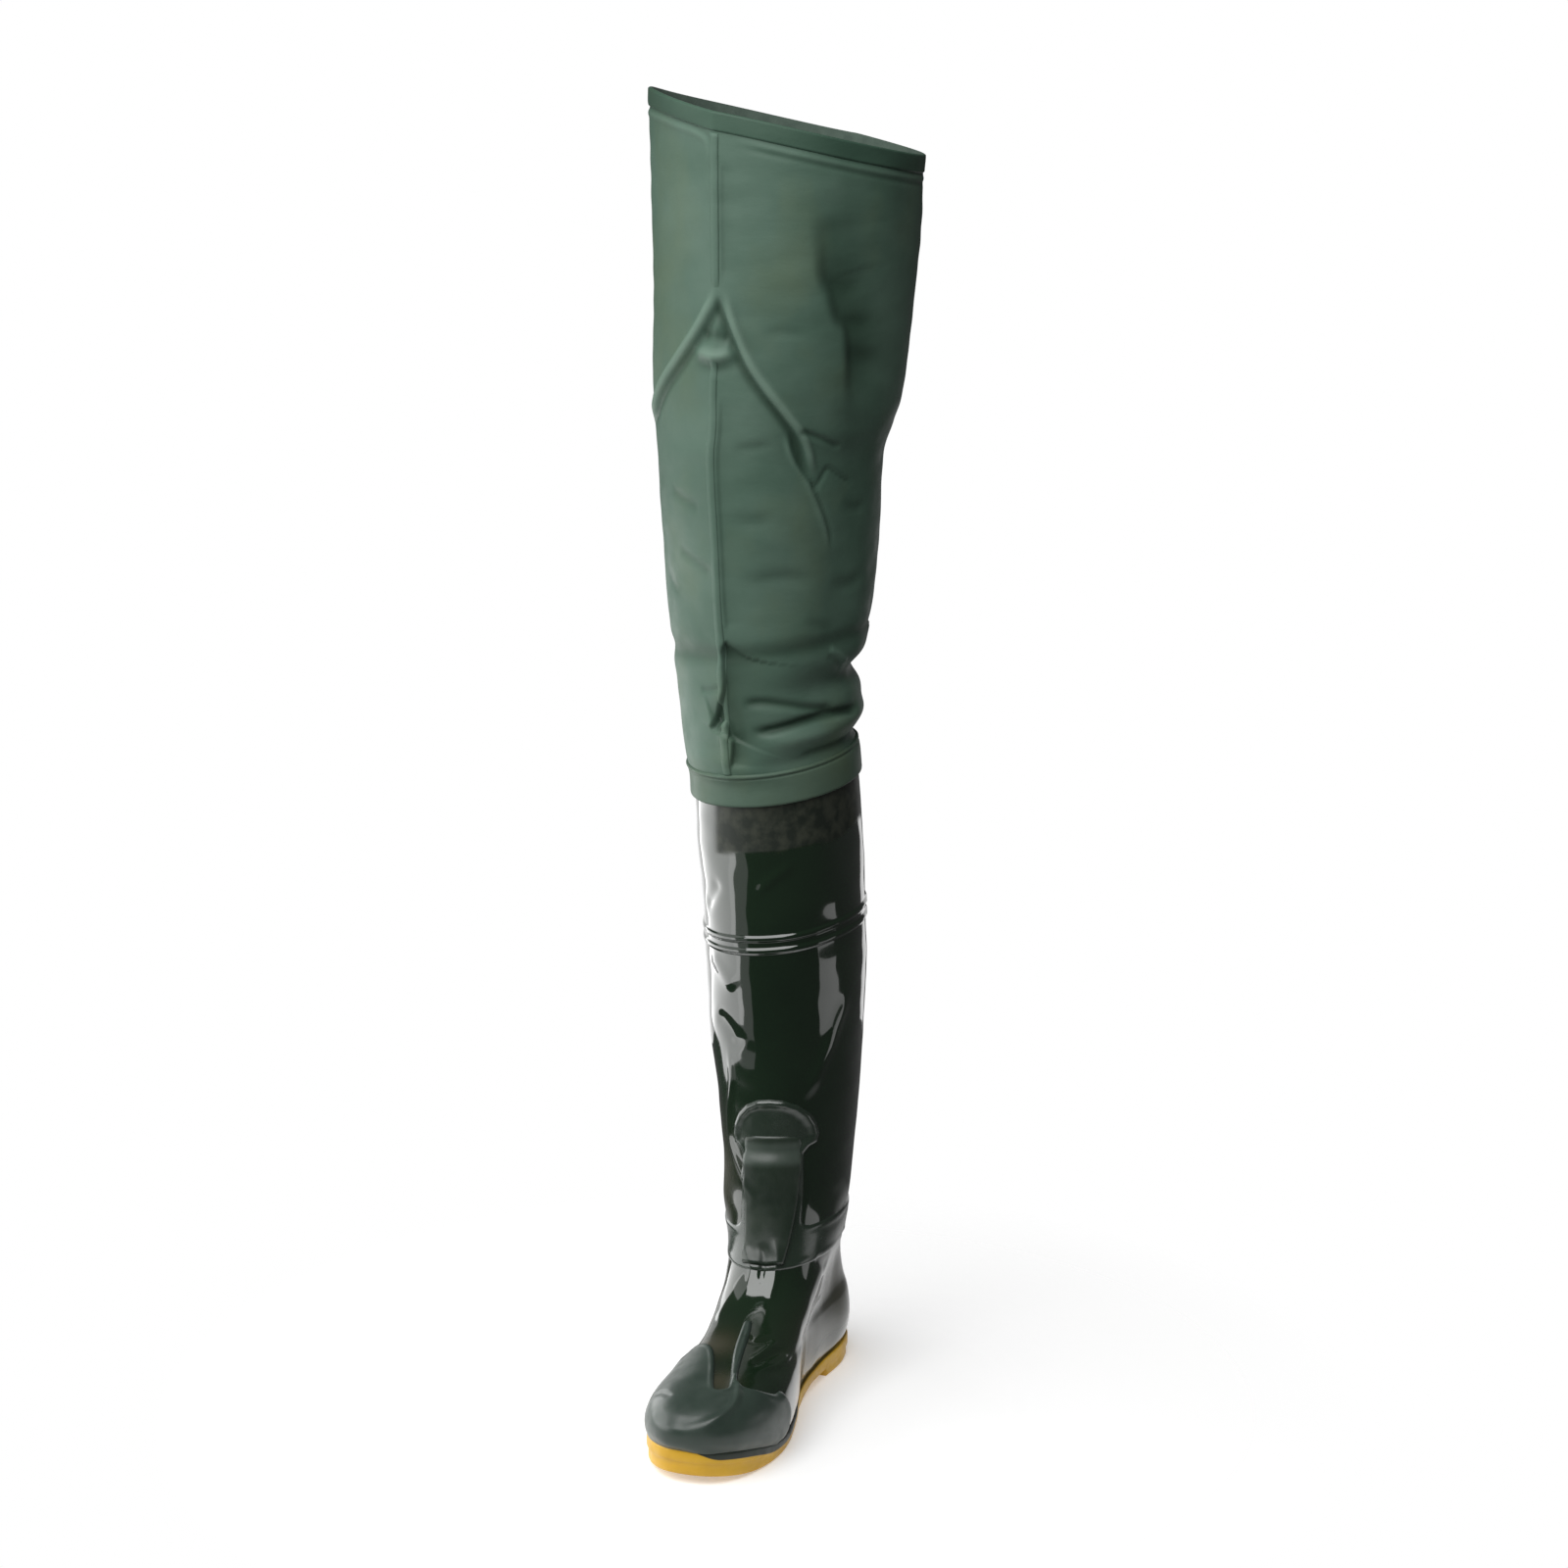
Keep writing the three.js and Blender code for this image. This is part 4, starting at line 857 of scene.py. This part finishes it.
def sole_material():
    """Yellow rubber; the attribute lip is the height from which the dark dipped rubber covers it."""
    material, tree, shader, yellow = rubber_start(
        "yellow rubber", 25, (0.5, 0.27, 0.006), (0.68, 0.4, 0.012), 180, (0.35, 0.55), 0.2, 900)
    place = add_node(tree, "ShaderNodeTexCoord")
    split = add_node(tree, "ShaderNodeSeparateXYZ")
    tree.links.new(place.outputs["Object"], split.inputs[0])
    over = add_node(tree, "ShaderNodeMath", operation="SUBTRACT")
    tree.links.new(split.outputs["Z"], over.inputs[0])
    tree.links.new(attribute(tree, "lip"), over.inputs[1])
    dipped = map_range(tree, over.outputs[0], 0, 0.0004, 0, 1)
    tree.links.new(blend_colours(tree, dipped, yellow, (0.012, 0.02, 0.013)), shader.inputs["Base Color"])
    return material


def lining_material(name, dark, light):
    material, tree, shader = new_material(name)
    cloud = object_noise(tree, 120, 5)
    tree.links.new(ramp(tree, cloud, 0.3, 0.7, dark, light), shader.inputs["Base Color"])
    shader.inputs["Roughness"].default_value = 0.9
    knit = object_noise(tree, 1100, 2, (1, 1, 0.4))
    bump(tree, [(knit, 0.5, 0.4)], shader)
    return material


FABRIC = fabric_material("coated fabric", (0.06, 0.113, 0.081), (0.092, 0.152, 0.116))
BAND_FABRIC = fabric_material("coated fabric of the band", (0.056, 0.098, 0.07), (0.078, 0.124, 0.09))
HEM_FABRIC = fabric_material("coated fabric of the hem", (0.036, 0.076, 0.052), (0.052, 0.1, 0.07))
SEAM_FABRIC = fabric_material("welded seam", (0.07, 0.125, 0.092), (0.092, 0.152, 0.116))
LINING = lining_material("knit lining", (0.045, 0.07, 0.055), (0.065, 0.095, 0.075))
GLOSS = gloss_material()
TOE_RUBBER = guard_material("matte toe rubber",
                            (0.022, 0.036, 0.028), (0.032, 0.05, 0.039), (0.3, 0.46), 0.15)
SHIN_RUBBER = guard_material("satin shin rubber",
                             (0.012, 0.022, 0.014), (0.02, 0.032, 0.022), (0.16, 0.3), 0.6)
PLATE_RUBBER = guard_material("satin plate rubber",
                              (0.009, 0.018, 0.011), (0.017, 0.028, 0.018), (0.3, 0.45), 0.2)
YELLOW = sole_material()
FELT = lining_material("grey felt", (0.12, 0.12, 0.11), (0.2, 0.2, 0.185))


def camera():
    """The photo's view: slightly medial of the front and well above the foot."""
    azimuth = math.radians(VIEW_TURN)
    across = VIEW_DISTANCE * math.sin(azimuth)
    ahead = VIEW_DISTANCE * math.cos(azimuth)
    data = bpy.data.cameras.new("camera")
    data.lens = VIEW_LENS
    data.sensor_width = 36
    data.clip_end = 50
    piece = bpy.data.objects.new("camera", data)
    piece.location = (0.0085 + across, -0.06 - ahead, VIEW_HEIGHT)
    piece.rotation_euler = (math.radians(90 - VIEW_DROP), 0, azimuth)
    bpy.context.scene.collection.objects.link(piece)
    bpy.context.scene.camera = piece


def area_light(name, bearing, distance, height, width, tall, radiance, aim_height):
    """A softbox at a bearing round the boot: 0 is towards the camera, positive to the camera's right."""
    azimuth = math.radians(VIEW_TURN + bearing)
    data = bpy.data.lights.new(name, "AREA")
    data.shape = "RECTANGLE"
    data.size = width
    data.size_y = tall
    data.energy = radiance * math.pi * width * tall
    piece = bpy.data.objects.new(name, data)
    piece.location = (distance * math.sin(azimuth), -distance * math.cos(azimuth), height)
    drop = math.atan2(height - aim_height, distance)
    piece.rotation_euler = (math.radians(90) - drop, 0, azimuth)
    piece.visible_camera = False
    bpy.context.scene.collection.objects.link(piece)


def lights():
    area_light("softbox low left", -98, 0.64, 0.25, 1.15, 0.48, 2.8, 0.25)
    area_light("softbox low left, edge", -52, 0.72, 0.25, 0.3, 0.48, 0.5, 0.25)
    area_light("softbox low left, back", -150, 0.7, 0.25, 0.5, 0.48, 0.9, 0.25)
    area_light("softbox high left", -85, 0.8, 0.95, 0.8, 0.8, 1.0, 0.9)
    area_light("softbox top", -22, 1.3, 1.95, 2.0, 2.0, 4.2, 0.4)
    area_light("panel right", 80, 0.7, 0.09, 0.28, 0.17, 0.9, 0.09)
    area_light("rim right", 152, 0.8, 0.3, 0.25, 0.6, 0.9, 0.3)
    world = bpy.data.worlds.new("world")
    bpy.context.scene.world = world
    world.use_nodes = True
    tree = world.node_tree
    background = tree.nodes["Background"]
    seen = add_node(tree, "ShaderNodeLightPath")
    strength = add_node(tree, "ShaderNodeMapRange")
    strength.inputs["To Min"].default_value = 0.07
    strength.inputs["To Max"].default_value = 1.0
    tree.links.new(seen.outputs["Is Camera Ray"], strength.inputs["Value"])
    tree.links.new(strength.outputs["Result"], background.inputs["Strength"])
    background.inputs["Color"].default_value = (1, 1, 1, 1)
    bpy.context.scene.view_settings.view_transform = "Standard"


def floor():
    """A round pale floor that fades out into the background."""
    bpy.ops.mesh.primitive_circle_add(vertices=96, radius=0.55, fill_type="NGON", location=(0, -0.08, 0))
    piece = bpy.context.object
    piece.name = "floor"
    material, tree, shader = new_material("pale floor")
    shader.inputs["Base Color"].default_value = (0.85, 0.85, 0.85, 1)
    shader.inputs["Roughness"].default_value = 0.9
    shader.inputs["Emission Color"].default_value = (1, 1, 1, 1)
    shader.inputs["Emission Strength"].default_value = 0.3
    place = add_node(tree, "ShaderNodeTexCoord")
    length = add_node(tree, "ShaderNodeVectorMath", operation="LENGTH")
    tree.links.new(place.outputs["Object"], length.inputs[0])
    tree.links.new(map_range(tree, length.outputs["Value"], 0.14, 0.44, 1, 0), shader.inputs["Alpha"])
    piece.data.materials.append(material)


# The leg and its trim

def rows_between(stops):
    """Places between stops of (place, count): count steps lead up to each stop."""
    places = [np.array([stops[0][0]])]
    for (start, _), (end, count) in zip(stops, stops[1:]):
        places.append(np.linspace(start, end, count + 1)[1:])
    return np.concatenate(places)


def leg_angles():
    """Angles round the leg, closer together at its front, where the fine creases are."""
    angles = np.linspace(0, 2 * math.pi, 300, endpoint=False)
    return (angles - 0.42 * np.sin(angles) + math.pi) % (2 * math.pi) - math.pi


def make_leg():
    angles = leg_angles()
    places = rows_between([(0, 0), (BAND_TOP, 8), (5.2, 84), (9, 70), (11.4, 66), (COLLAR, 56)])
    outer = leg_surface(places[:, None], angles[None, :])
    inside = rows_between([(0, 0), (5, 16), (COLLAR, 26)])
    up = share_up(inside)
    deeper = LEG_WALL + 5 * smooth((0.9 - up) / 0.3) * smooth(up / 0.05)
    distance = np.broadcast_to(-deeper[:, None], (len(inside), len(angles)))
    inner = offset(leg_surface, inside[:, None], angles[None, :], distance)
    piece = wall_piece("fabric_leg", outer, inner, [FABRIC, LINING], ["leg"])
    place, angle = np.broadcast_arrays(places[:, None], angles[None, :])
    # painted highlight on ridges and painted shade in creases, kept as the tone attribute
    tone = leg_relief(place, angle, leg_form(place, angle))[1]
    hidden = np.zeros(inner.shape[0] * inner.shape[1])
    paint(piece, "tone", np.concatenate([tone.ravel(), hidden]))


def band_piece(name, low, high, count, profile, material, node):
    """A band round the leg whose thickness follows a profile of its height share."""
    angles = leg_angles()
    share = np.linspace(0, 1, count + 1)
    places = mix(low, high, share)
    shape = (len(places), len(angles))
    out = np.broadcast_to(profile(share)[:, None], shape)
    outer = offset(leg_surface, places[:, None], angles[None, :], out)
    inner = offset(leg_surface, places[:, None], angles[None, :], np.full(shape, 0.1))
    wall_piece(name, outer, inner, [material, material], [node])


def rounded(share, height, edge):
    """A band's thickness, rounded off near both its edges; height is the band's, in mm."""
    inside = np.minimum(share, 1 - share) * height
    t = np.clip(inside / edge, 0, 1)
    return np.sqrt(1 - (1 - t) ** 2)


def knee_profile(share):
    """The welded knee band: a flat face, a groove and a thin ridge at its top edge."""
    full = (CLEARANCE + TRIM_WALL) * rounded(share, KNEE_BAND_HEIGHT, 1.5)
    groove = 0.9 * bell(share - 0.84, 0.035)
    ridge = 0.5 * bell(share - 0.92, 0.035)
    return np.maximum(full - groove + ridge, 0.2)


def hem_profile(share):
    """The collar's hem: a flat face, a little thicker at the edge of the opening."""
    full = (CLEARANCE + TRIM_WALL) * rounded(share, HEM_HEIGHT, 1.2)
    return np.maximum(full - 0.3 * (1 - smooth(share / 0.8)), 0.2)


def make_seam():
    """The welded strip down the front crease, as a ribbon with rounded edges."""
    places = rows_between([(BAND_TOP + 0.04, 0), (5.2, 84), (9, 66), (HEM_LOW - 0.03, 70)])
    across = np.linspace(-1, 1, 13)
    step = 0.01
    radius = np.linalg.norm(leg_form(places, step) - leg_form(places, -step), axis=-1) / (2 * step)
    angle = across[None, :] * (SEAM_WIDTH / 2) / radius[:, None]
    place = np.broadcast_to(places[:, None], angle.shape)
    crown = np.sqrt(np.clip(1 - np.abs(across) ** 3, 0, 1))
    up = share_up(places)
    flush = smooth((up - 0.64) / 0.012) * smooth((0.757 - up) / 0.012)
    full = (CLEARANCE + (0.6 + 0.25 * smooth((up - 0.755) / 0.02)) * TRIM_WALL) * (1 - 0.75 * flush)
    sink = 0.9 * flush[:, None]
    out = full[:, None] * crown[None, :] - 0.1 - sink
    top = offset(leg_surface, place, angle, out)
    under = offset(leg_surface, place, angle, -0.4 - sink + 0 * angle)
    loop = np.concatenate([top, under[:, ::-1]], axis=1)
    faces = tube_faces(loop.shape[0], loop.shape[1], False)
    cols = loop.shape[1]
    last = (loop.shape[0] - 1) * cols
    caps = []
    for k in range(len(across) - 1):
        caps.append([k + 1, k, cols - 1 - k, cols - 2 - k])
        caps.append([last + k, last + k + 1, last + cols - 2 - k, last + cols - 1 - k])
    make_object("front_seam_weld", loop.reshape(-1, 3), np.concatenate([faces, caps]), [SEAM_FABRIC],
                ["front_seam"])


# The rubber boot and its guards

# Dull olive patches of the rubber: place, reach across and reach along Z in mm, and weight
OLIVE_PATCHES = [
    (-42, -52, 160, 26, 32, 0.9), (-40, -56, 105, 24, 30, 0.8), (-34, -80, 72, 26, 20, 0.7),
    (-6, -160, 66, 18, 12, 0.9), (12, -205, 58, 14, 8, 1.0), (50, -8, 62, 40, 40, 1.0),
    (50, -90, 40, 46, 24, 0.95),
]


def make_upper():
    angles = whole_turn(half_turn(120))
    rib_low = place_of(UPPER["front_z"], RIB_LEVEL - 10)
    rib_high = place_of(UPPER["front_z"], RIB_LEVEL + 10)
    places = rows_between([(0, 0), (10, 150), (rib_low, 84), (rib_high, 44), (RIM, 42)])
    outer = boot_surface(places[:, None], angles[None, :])
    inside = rows_between([(0, 0), (10, 34), (RIM, 20)])
    deeper = np.broadcast_to(np.full((len(inside), 1), -RUBBER_WALL), (len(inside), len(angles)))
    inner = offset(boot_form, inside[:, None], angles[None, :], deeper)
    piece = wall_piece("rubber_upper", outer, inner, [GLOSS, LINING], ["upper"])
    level = outer[..., 2] - rim_tilt(angles)[None, :]
    edge = BAND_LEVEL + 1.5 * waves(outer, 21, 50)
    band = smooth((level - edge) / 2.5 + 0.5)
    band *= 1 - smooth((-34 - outer[..., 0]) / 8) * smooth(-outer[..., 1] / 20)
    olive = np.zeros(outer.shape[:2])
    for x, y, z, wide, tall, weight in OLIVE_PATCHES:
        flat = ((outer[..., 0] - x) ** 2 + (outer[..., 1] - y) ** 2) / wide ** 2
        olive += weight * np.exp(-flat - ((outer[..., 2] - z) / tall) ** 2)
    hidden = np.zeros(inner.shape[0] * inner.shape[1])
    for name, values in (("band", band), ("olive", np.clip(olive, 0, 1))):
        paint(piece, name, np.concatenate([values.ravel(), hidden]))


def closed_line(points, per_span=5):
    """A smooth closed outline through given points."""
    points = np.asarray(points, float)
    n = len(points)
    padded = np.concatenate([points[-2:], points, points[:3]])
    t = np.arange(n * per_span) / per_span + 2
    return np.stack([column(padded[:, k], t) for k in (0, 1)], -1)


def signed_distance(line, x, y):
    """Distance to a closed outline, negative inside."""
    ring = np.concatenate([line, line[:1]])
    away, _, _ = along_line(ring, x, y)
    inside = np.zeros(x.shape, bool)
    for a, b in zip(ring[:-1], ring[1:]):
        crosses = (a[1] > y) != (b[1] > y)
        if a[1] == b[1]:
            continue
        at = a[0] + (y - a[1]) / (b[1] - a[1]) * (b[0] - a[0])
        inside ^= crosses & (x < at)
    return np.where(inside, -away, away)


def patch(name, region, places, angles, thickness, material, node):
    """A guard moulded on the boot: the part of a grid inside a region, with rounded edges.

    region gives the signed distance of points to the guard's edge in millimetres, and thickness the
    height over the boot for points and their distance inside the edge."""
    place, angle = np.meshgrid(places, angles, indexing="ij")
    rows, cols = place.shape
    d_place = np.gradient(places)[:, None] + 0 * angle
    d_angle = np.gradient(angles)[None, :] + 0 * place
    far = region(boot_form(place, angle))
    inside = far <= 0
    near = np.zeros_like(inside)
    for di in (-1, 0, 1):
        for dj in (-1, 0, 1):
            near |= np.roll(np.roll(inside, di, 0), dj, 1)
    edge = near & ~inside
    for _ in range(4):
        p = place[edge]
        a = angle[edge]
        hp = d_place[edge]
        ha = d_angle[edge]
        f = region(boot_form(p, a))
        gp = (region(boot_form(p + 0.2 * hp, a)) - region(boot_form(p - 0.2 * hp, a))) / 0.4
        ga = (region(boot_form(p, a + 0.2 * ha)) - region(boot_form(p, a - 0.2 * ha))) / 0.4
        square = np.maximum(gp * gp + ga * ga, 1e-4)
        place[edge] = np.clip(p - np.clip(f * gp / square, -1, 1) * hp, places[0], places[-1])
        angle[edge] = a - np.clip(f * ga / square, -1, 1) * ha
    base = boot_surface(place, angle)
    normal = normal_of(boot_form, place, angle)
    inward = np.where(edge, 0, np.maximum(0, -region(boot_form(place, angle))))
    top = base + normal * thickness(base, inward)[..., None]
    under = base - normal * GUARD_SINK
    used = near[:-1, :-1] & near[1:, :-1] & near[:-1, 1:] & near[1:, 1:]
    some = inside[:-1, :-1] | inside[1:, :-1] | inside[:-1, 1:] | inside[1:, 1:]
    i, j = np.nonzero(used & some)
    quads = np.stack([i * cols + j, i * cols + j + 1, (i + 1) * cols + j + 1, (i + 1) * cols + j], -1)
    kept, quads = np.unique(quads, return_inverse=True)
    quads = quads.reshape(-1, 4)
    count = len(kept)
    sides = np.concatenate([quads[:, [k, (k + 1) % 4]] for k in range(4)])
    found = set(map(tuple, sides.tolist()))
    rim = [(b, a, a + count, b + count) for a, b in sorted(found) if (b, a) not in found]
    points = np.concatenate([top.reshape(-1, 3)[kept], under.reshape(-1, 3)[kept]])
    return make_object(name, points, np.concatenate([quads, quads[:, ::-1] + count, rim]), [material],
                       [node])


def bevel(inward, wall, edge):
    """A guard's height over the boot: it starts just under the surface and rounds up to its wall."""
    t = np.clip(inward / edge, 0, 1)
    return -0.3 + (wall + 0.3) * np.sqrt(1 - (1 - t) ** 2)


TOE_LINE = closed_line([(m * BALL_WIDTH / 2, -a * SOLE_LENGTH) for m, a in TOE_GUARD])
TOE_RING = curve_through([(-24, -244), (-10, -251), (4, -253), (18, -249),
                          (28, -238), (32, -224), (29, -210), (23, -197)])
TOE_CREASE = curve_through([(-36, -214), (-25, -219), (-16, -227), (-11, -230)])


def toe_region(points):
    return signed_distance(TOE_LINE, points[..., 0], points[..., 1])


def toe_thickness(points, inward):
    x = points[..., 0]
    y = points[..., 1]
    height = bevel(inward, CLEARANCE + GUARD_WALL, 2.0)
    away, _, at = along_line(TOE_RING, x, y)
    ring = 1.7 * bell(away, 2.2) * smooth(at / 0.2)
    dish = 1.5 * bell(x - 2, 17) * bell(y + 230, 14)
    away, _, at = along_line(TOE_CREASE, x, y)
    line = 0.9 * bell(away, 1.6) * fading(at, 0.2, 0.2)
    rim = 0.7 * bell(inward - 2.6, 1.4)
    return height + (ring - dish - line + rim) * smooth(inward / 1.5)


def make_toe_guard():
    half = half_turn(170)
    half = half[half < math.radians(125)]
    angles = np.concatenate([-half[1:][::-1], half])
    places = rows_between([(0.03, 0), (7.2, 150)])
    patch("toe_cap", toe_region, places, angles, toe_thickness, TOE_RUBBER, "toe_guard")


def guard_line(rows):
    right = [(GUARD_MIDDLE + h * SHAFT_WIDTH, z * ANKLE_HEIGHT) for h, z in rows]
    left = [(GUARD_MIDDLE - h * SHAFT_WIDTH, z * ANKLE_HEIGHT) for h, z in rows if h > 0]
    return np.array(right + left[::-1])


SHIN_LINE = guard_line(SHIN_PANEL)
PLATE_LINE = guard_line(INSTEP_PLATE)


def front_only(distance, points):
    """A region seen from the front goes no further back than the shaft's middle."""
    return np.where(points[..., 1] < -SHAFT_WIDTH / 6, distance, 50)


def shin_region(points):
    panel = front_only(signed_distance(SHIN_LINE, points[..., 0], points[..., 2]), points)
    middle = (ANKLE_BAND[0] + ANKLE_BAND[1]) / 2 * ANKLE_HEIGHT
    half = (ANKLE_BAND[1] - ANKLE_BAND[0]) / 2 * ANKLE_HEIGHT
    band = np.abs(points[..., 2] - middle) - half
    blend = 7
    h = np.clip(0.5 + 0.5 * (band - panel) / blend, 0, 1)
    return mix(band, panel, h) - blend * h * (1 - h)


def shin_thickness(points, inward):
    height = bevel(inward, CLEARANCE + GUARD_WALL - 0.8, 1.6)
    arch = 0.3 + 1.2 * smooth((points[..., 2] - ANKLE_HEIGHT) / (0.2 * ANKLE_HEIGHT))
    return height + arch * bell(inward - 3, 2.4) * smooth(inward / 1.5)


def make_shin_guard():
    angles = np.linspace(-math.pi, math.pi, 361)
    places = rows_between([(8.2, 0), (9.8, 44), (12.8, 100)])
    patch("shin_shield", shin_region, places, angles, shin_thickness, SHIN_RUBBER, "shin_guard")


def plate_region(points):
    return front_only(signed_distance(PLATE_LINE, points[..., 0], points[..., 2]), points)


def plate_thickness(points, inward):
    ledge = smooth((points[..., 2] - 1.235 * ANKLE_HEIGHT) / (0.08 * ANKLE_HEIGHT))
    full = 2 * CLEARANCE + GUARD_WALL + PLATE_WALL
    return bevel(inward, full - 3.0 * ledge, 2.2 + 1.5 * ledge)


def make_instep_plate():
    angles = np.linspace(-math.radians(50), math.radians(75), 150)
    places = rows_between([(8.2, 0), (12.2, 130)])
    piece = patch("ankle_plate", plate_region, places, angles, plate_thickness, PLATE_RUBBER, "instep_plate")
    height = np.array([v.co.z for v in piece.data.vertices]) / (MM * ANKLE_HEIGHT)
    # painted highlight: the plate's bevelled top ledge, painted lighter by its material
    paint(piece, "ledge", smooth((height - 1.215) / 0.04) * smooth((1.36 - height) / 0.03))


# The outsole: its side from the ground to the top, outwards in mm and as a share of its height

SOLE_SIDE = [
    (SOLE_FLANGE - SOLE_STEP - 1.4, 0), (SOLE_FLANGE - SOLE_STEP - 0.6, 0.02), (SOLE_FLANGE - SOLE_STEP, 0.1),
    (SOLE_FLANGE - SOLE_STEP, 0.3), (SOLE_FLANGE - SOLE_STEP, 0.5), (SOLE_FLANGE - 0.6, 0.53),
    (SOLE_FLANGE, 0.58), (SOLE_FLANGE, 0.75), (SOLE_FLANGE, 0.9), (SOLE_FLANGE - 0.3, 0.97),
    (SOLE_FLANGE - 0.9, 1),
]
HEEL_GROOVES = [-0.085, -0.037, 0.037, 0.085]
BALL_GROOVES = np.linspace(0.381, 0.762, 9)
HEEL_BREAST = 0.12
ARCH_END = 0.354
ARCH = [(0, 0), (0.03, 1), (0.45, 1), (0.75, 0.5), (1, 0)]


def sole_ring(outward, height, angles):
    step = 0.01
    point = boot_form(0, angles)
    along = boot_form(0, angles + step) - boot_form(0, angles - step)
    length = np.hypot(along[:, 0], along[:, 1])
    share = (1 + np.cos(angles)) / 2
    x = point[:, 0] + outward * along[:, 1] / length
    y = point[:, 1] - outward * along[:, 0] / length
    return np.stack([x, y, height(share)], -1)


def prism(outline, reach):
    """A straight bar along X with an outline of (y, z) pairs, as points and faces."""
    n = len(outline)
    points = [(-reach, y, z) for y, z in outline] + [(reach, y, z) for y, z in outline]
    faces = [[i, (i + 1) % n, (i + 1) % n + n, i + n] for i in range(n)]
    return points, faces + [list(range(n))[::-1], list(range(n, 2 * n))]


def make_outsole():
    half = half_turn(120)
    angles = whole_turn(half)
    under = lambda share: sole_height(share, "under")
    edge = lambda share: sole_height(share, "edge") - CLEARANCE
    bed = lambda share: sole_height(share, "bed") - CLEARANCE
    rings = [sole_ring(out, lambda s, up=up: mix(under(s), edge(s), up), angles) for out, up in SOLE_SIDE]
    rings.append(sole_ring(-RUBBER_WALL - 1, edge, angles))
    rings.append(sole_ring(-RUBBER_WALL - 1 - BED_SLOPE, bed, angles))
    cols = len(angles)
    points = np.concatenate(rings)
    faces = tube_faces(len(rings), cols, False).tolist()
    top = (len(rings) - 1) * cols
    for j in range(len(half) - 1):
        other = -j % cols
        next_other = -(j + 1) % cols
        if j == 0:
            faces.append([0, next_other, 1])
            faces.append([top, top + 1, top + next_other])
        elif j == len(half) - 2:
            faces.append([j, other, j + 1])
            faces.append([top + j, top + j + 1, top + other])
        else:
            faces.append([j, other, next_other, j + 1])
            faces.append([top + j, top + j + 1, top + next_other, top + other])
    piece = make_object("lugged_outsole", points, faces, [YELLOW], ["outsole"])
    below = -ARCH_HEIGHT
    hollow = [(-SOLE_LENGTH * mix(HEEL_BREAST, ARCH_END, a), ARCH_HEIGHT * u) for a, u in ARCH]
    outlines = [[(hollow[0][0], below)] + hollow + [(hollow[-1][0], below)]]
    front = UPPER["front"][0]
    back = UPPER["back"][0]
    for ahead in [*HEEL_GROOVES, *BALL_GROOVES]:
        y = -ahead * SOLE_LENGTH
        roof = float(under(np.clip((back - y) / (front + back), 0, 1))) + TREAD_DEPTH
        wide = TREAD_WIDTH / 2
        outlines.append([(y - wide - 0.4, below), (y - wide, roof),
                         (y + wide, roof), (y + wide + 0.4, below)])
    for outline in outlines:
        points, faces = prism(outline, BALL_WIDTH)
        mesh = bpy.data.meshes.new("cutter")
        mesh.from_pydata((np.array(points) * MM).tolist(), [], faces)
        tool = bpy.data.objects.new("cutter", mesh)
        bpy.context.scene.collection.objects.link(tool)
        cut = piece.modifiers.new("cut", "BOOLEAN")
        cut.operation = "DIFFERENCE"
        cut.solver = "EXACT"
        cut.object = tool
        bpy.context.view_layer.objects.active = piece
        bpy.ops.object.modifier_apply(modifier="cut")
        bpy.data.objects.remove(tool)
    for polygon in piece.data.polygons:
        polygon.use_smooth = abs(polygon.normal.z) < 0.9
    count = len(piece.data.vertices)
    flat = np.empty(count * 3)
    piece.data.vertices.foreach_get("co", flat)
    points = flat.reshape(-1, 3) / MM
    length = front + back
    share = np.clip((back - points[:, 1]) / length, 0, 1)
    across = points[:, 0] - TOE_SWING * smooth((share - 0.5) * 2)
    degrees = np.degrees(np.arctan2(across * 2.6, (share - 0.5) * length))
    dip = 6.5 * smooth((degrees - 2) / 24) * smooth((150 - degrees) / 20)
    dip = dip * (1 - 0.88 * smooth((degrees - 50) / 40))
    paint(piece, "lip", (sole_height(share, "edge") - CLEARANCE - dip + 0.5) * MM)
    piece.data.update()


camera()
lights()
floor()
make_leg()
band_piece("knee_weld_band", 0, BAND_TOP, 30, knee_profile, BAND_FABRIC, "knee_band")
band_piece("thigh_hem", HEM_LOW, COLLAR, 18, hem_profile, HEM_FABRIC, "collar_hem")
make_seam()
make_upper()
make_toe_guard()
make_shin_guard()
make_instep_plate()
make_outsole()
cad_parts["insole"].data.materials.clear()
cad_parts["insole"].data.materials.append(FELT)
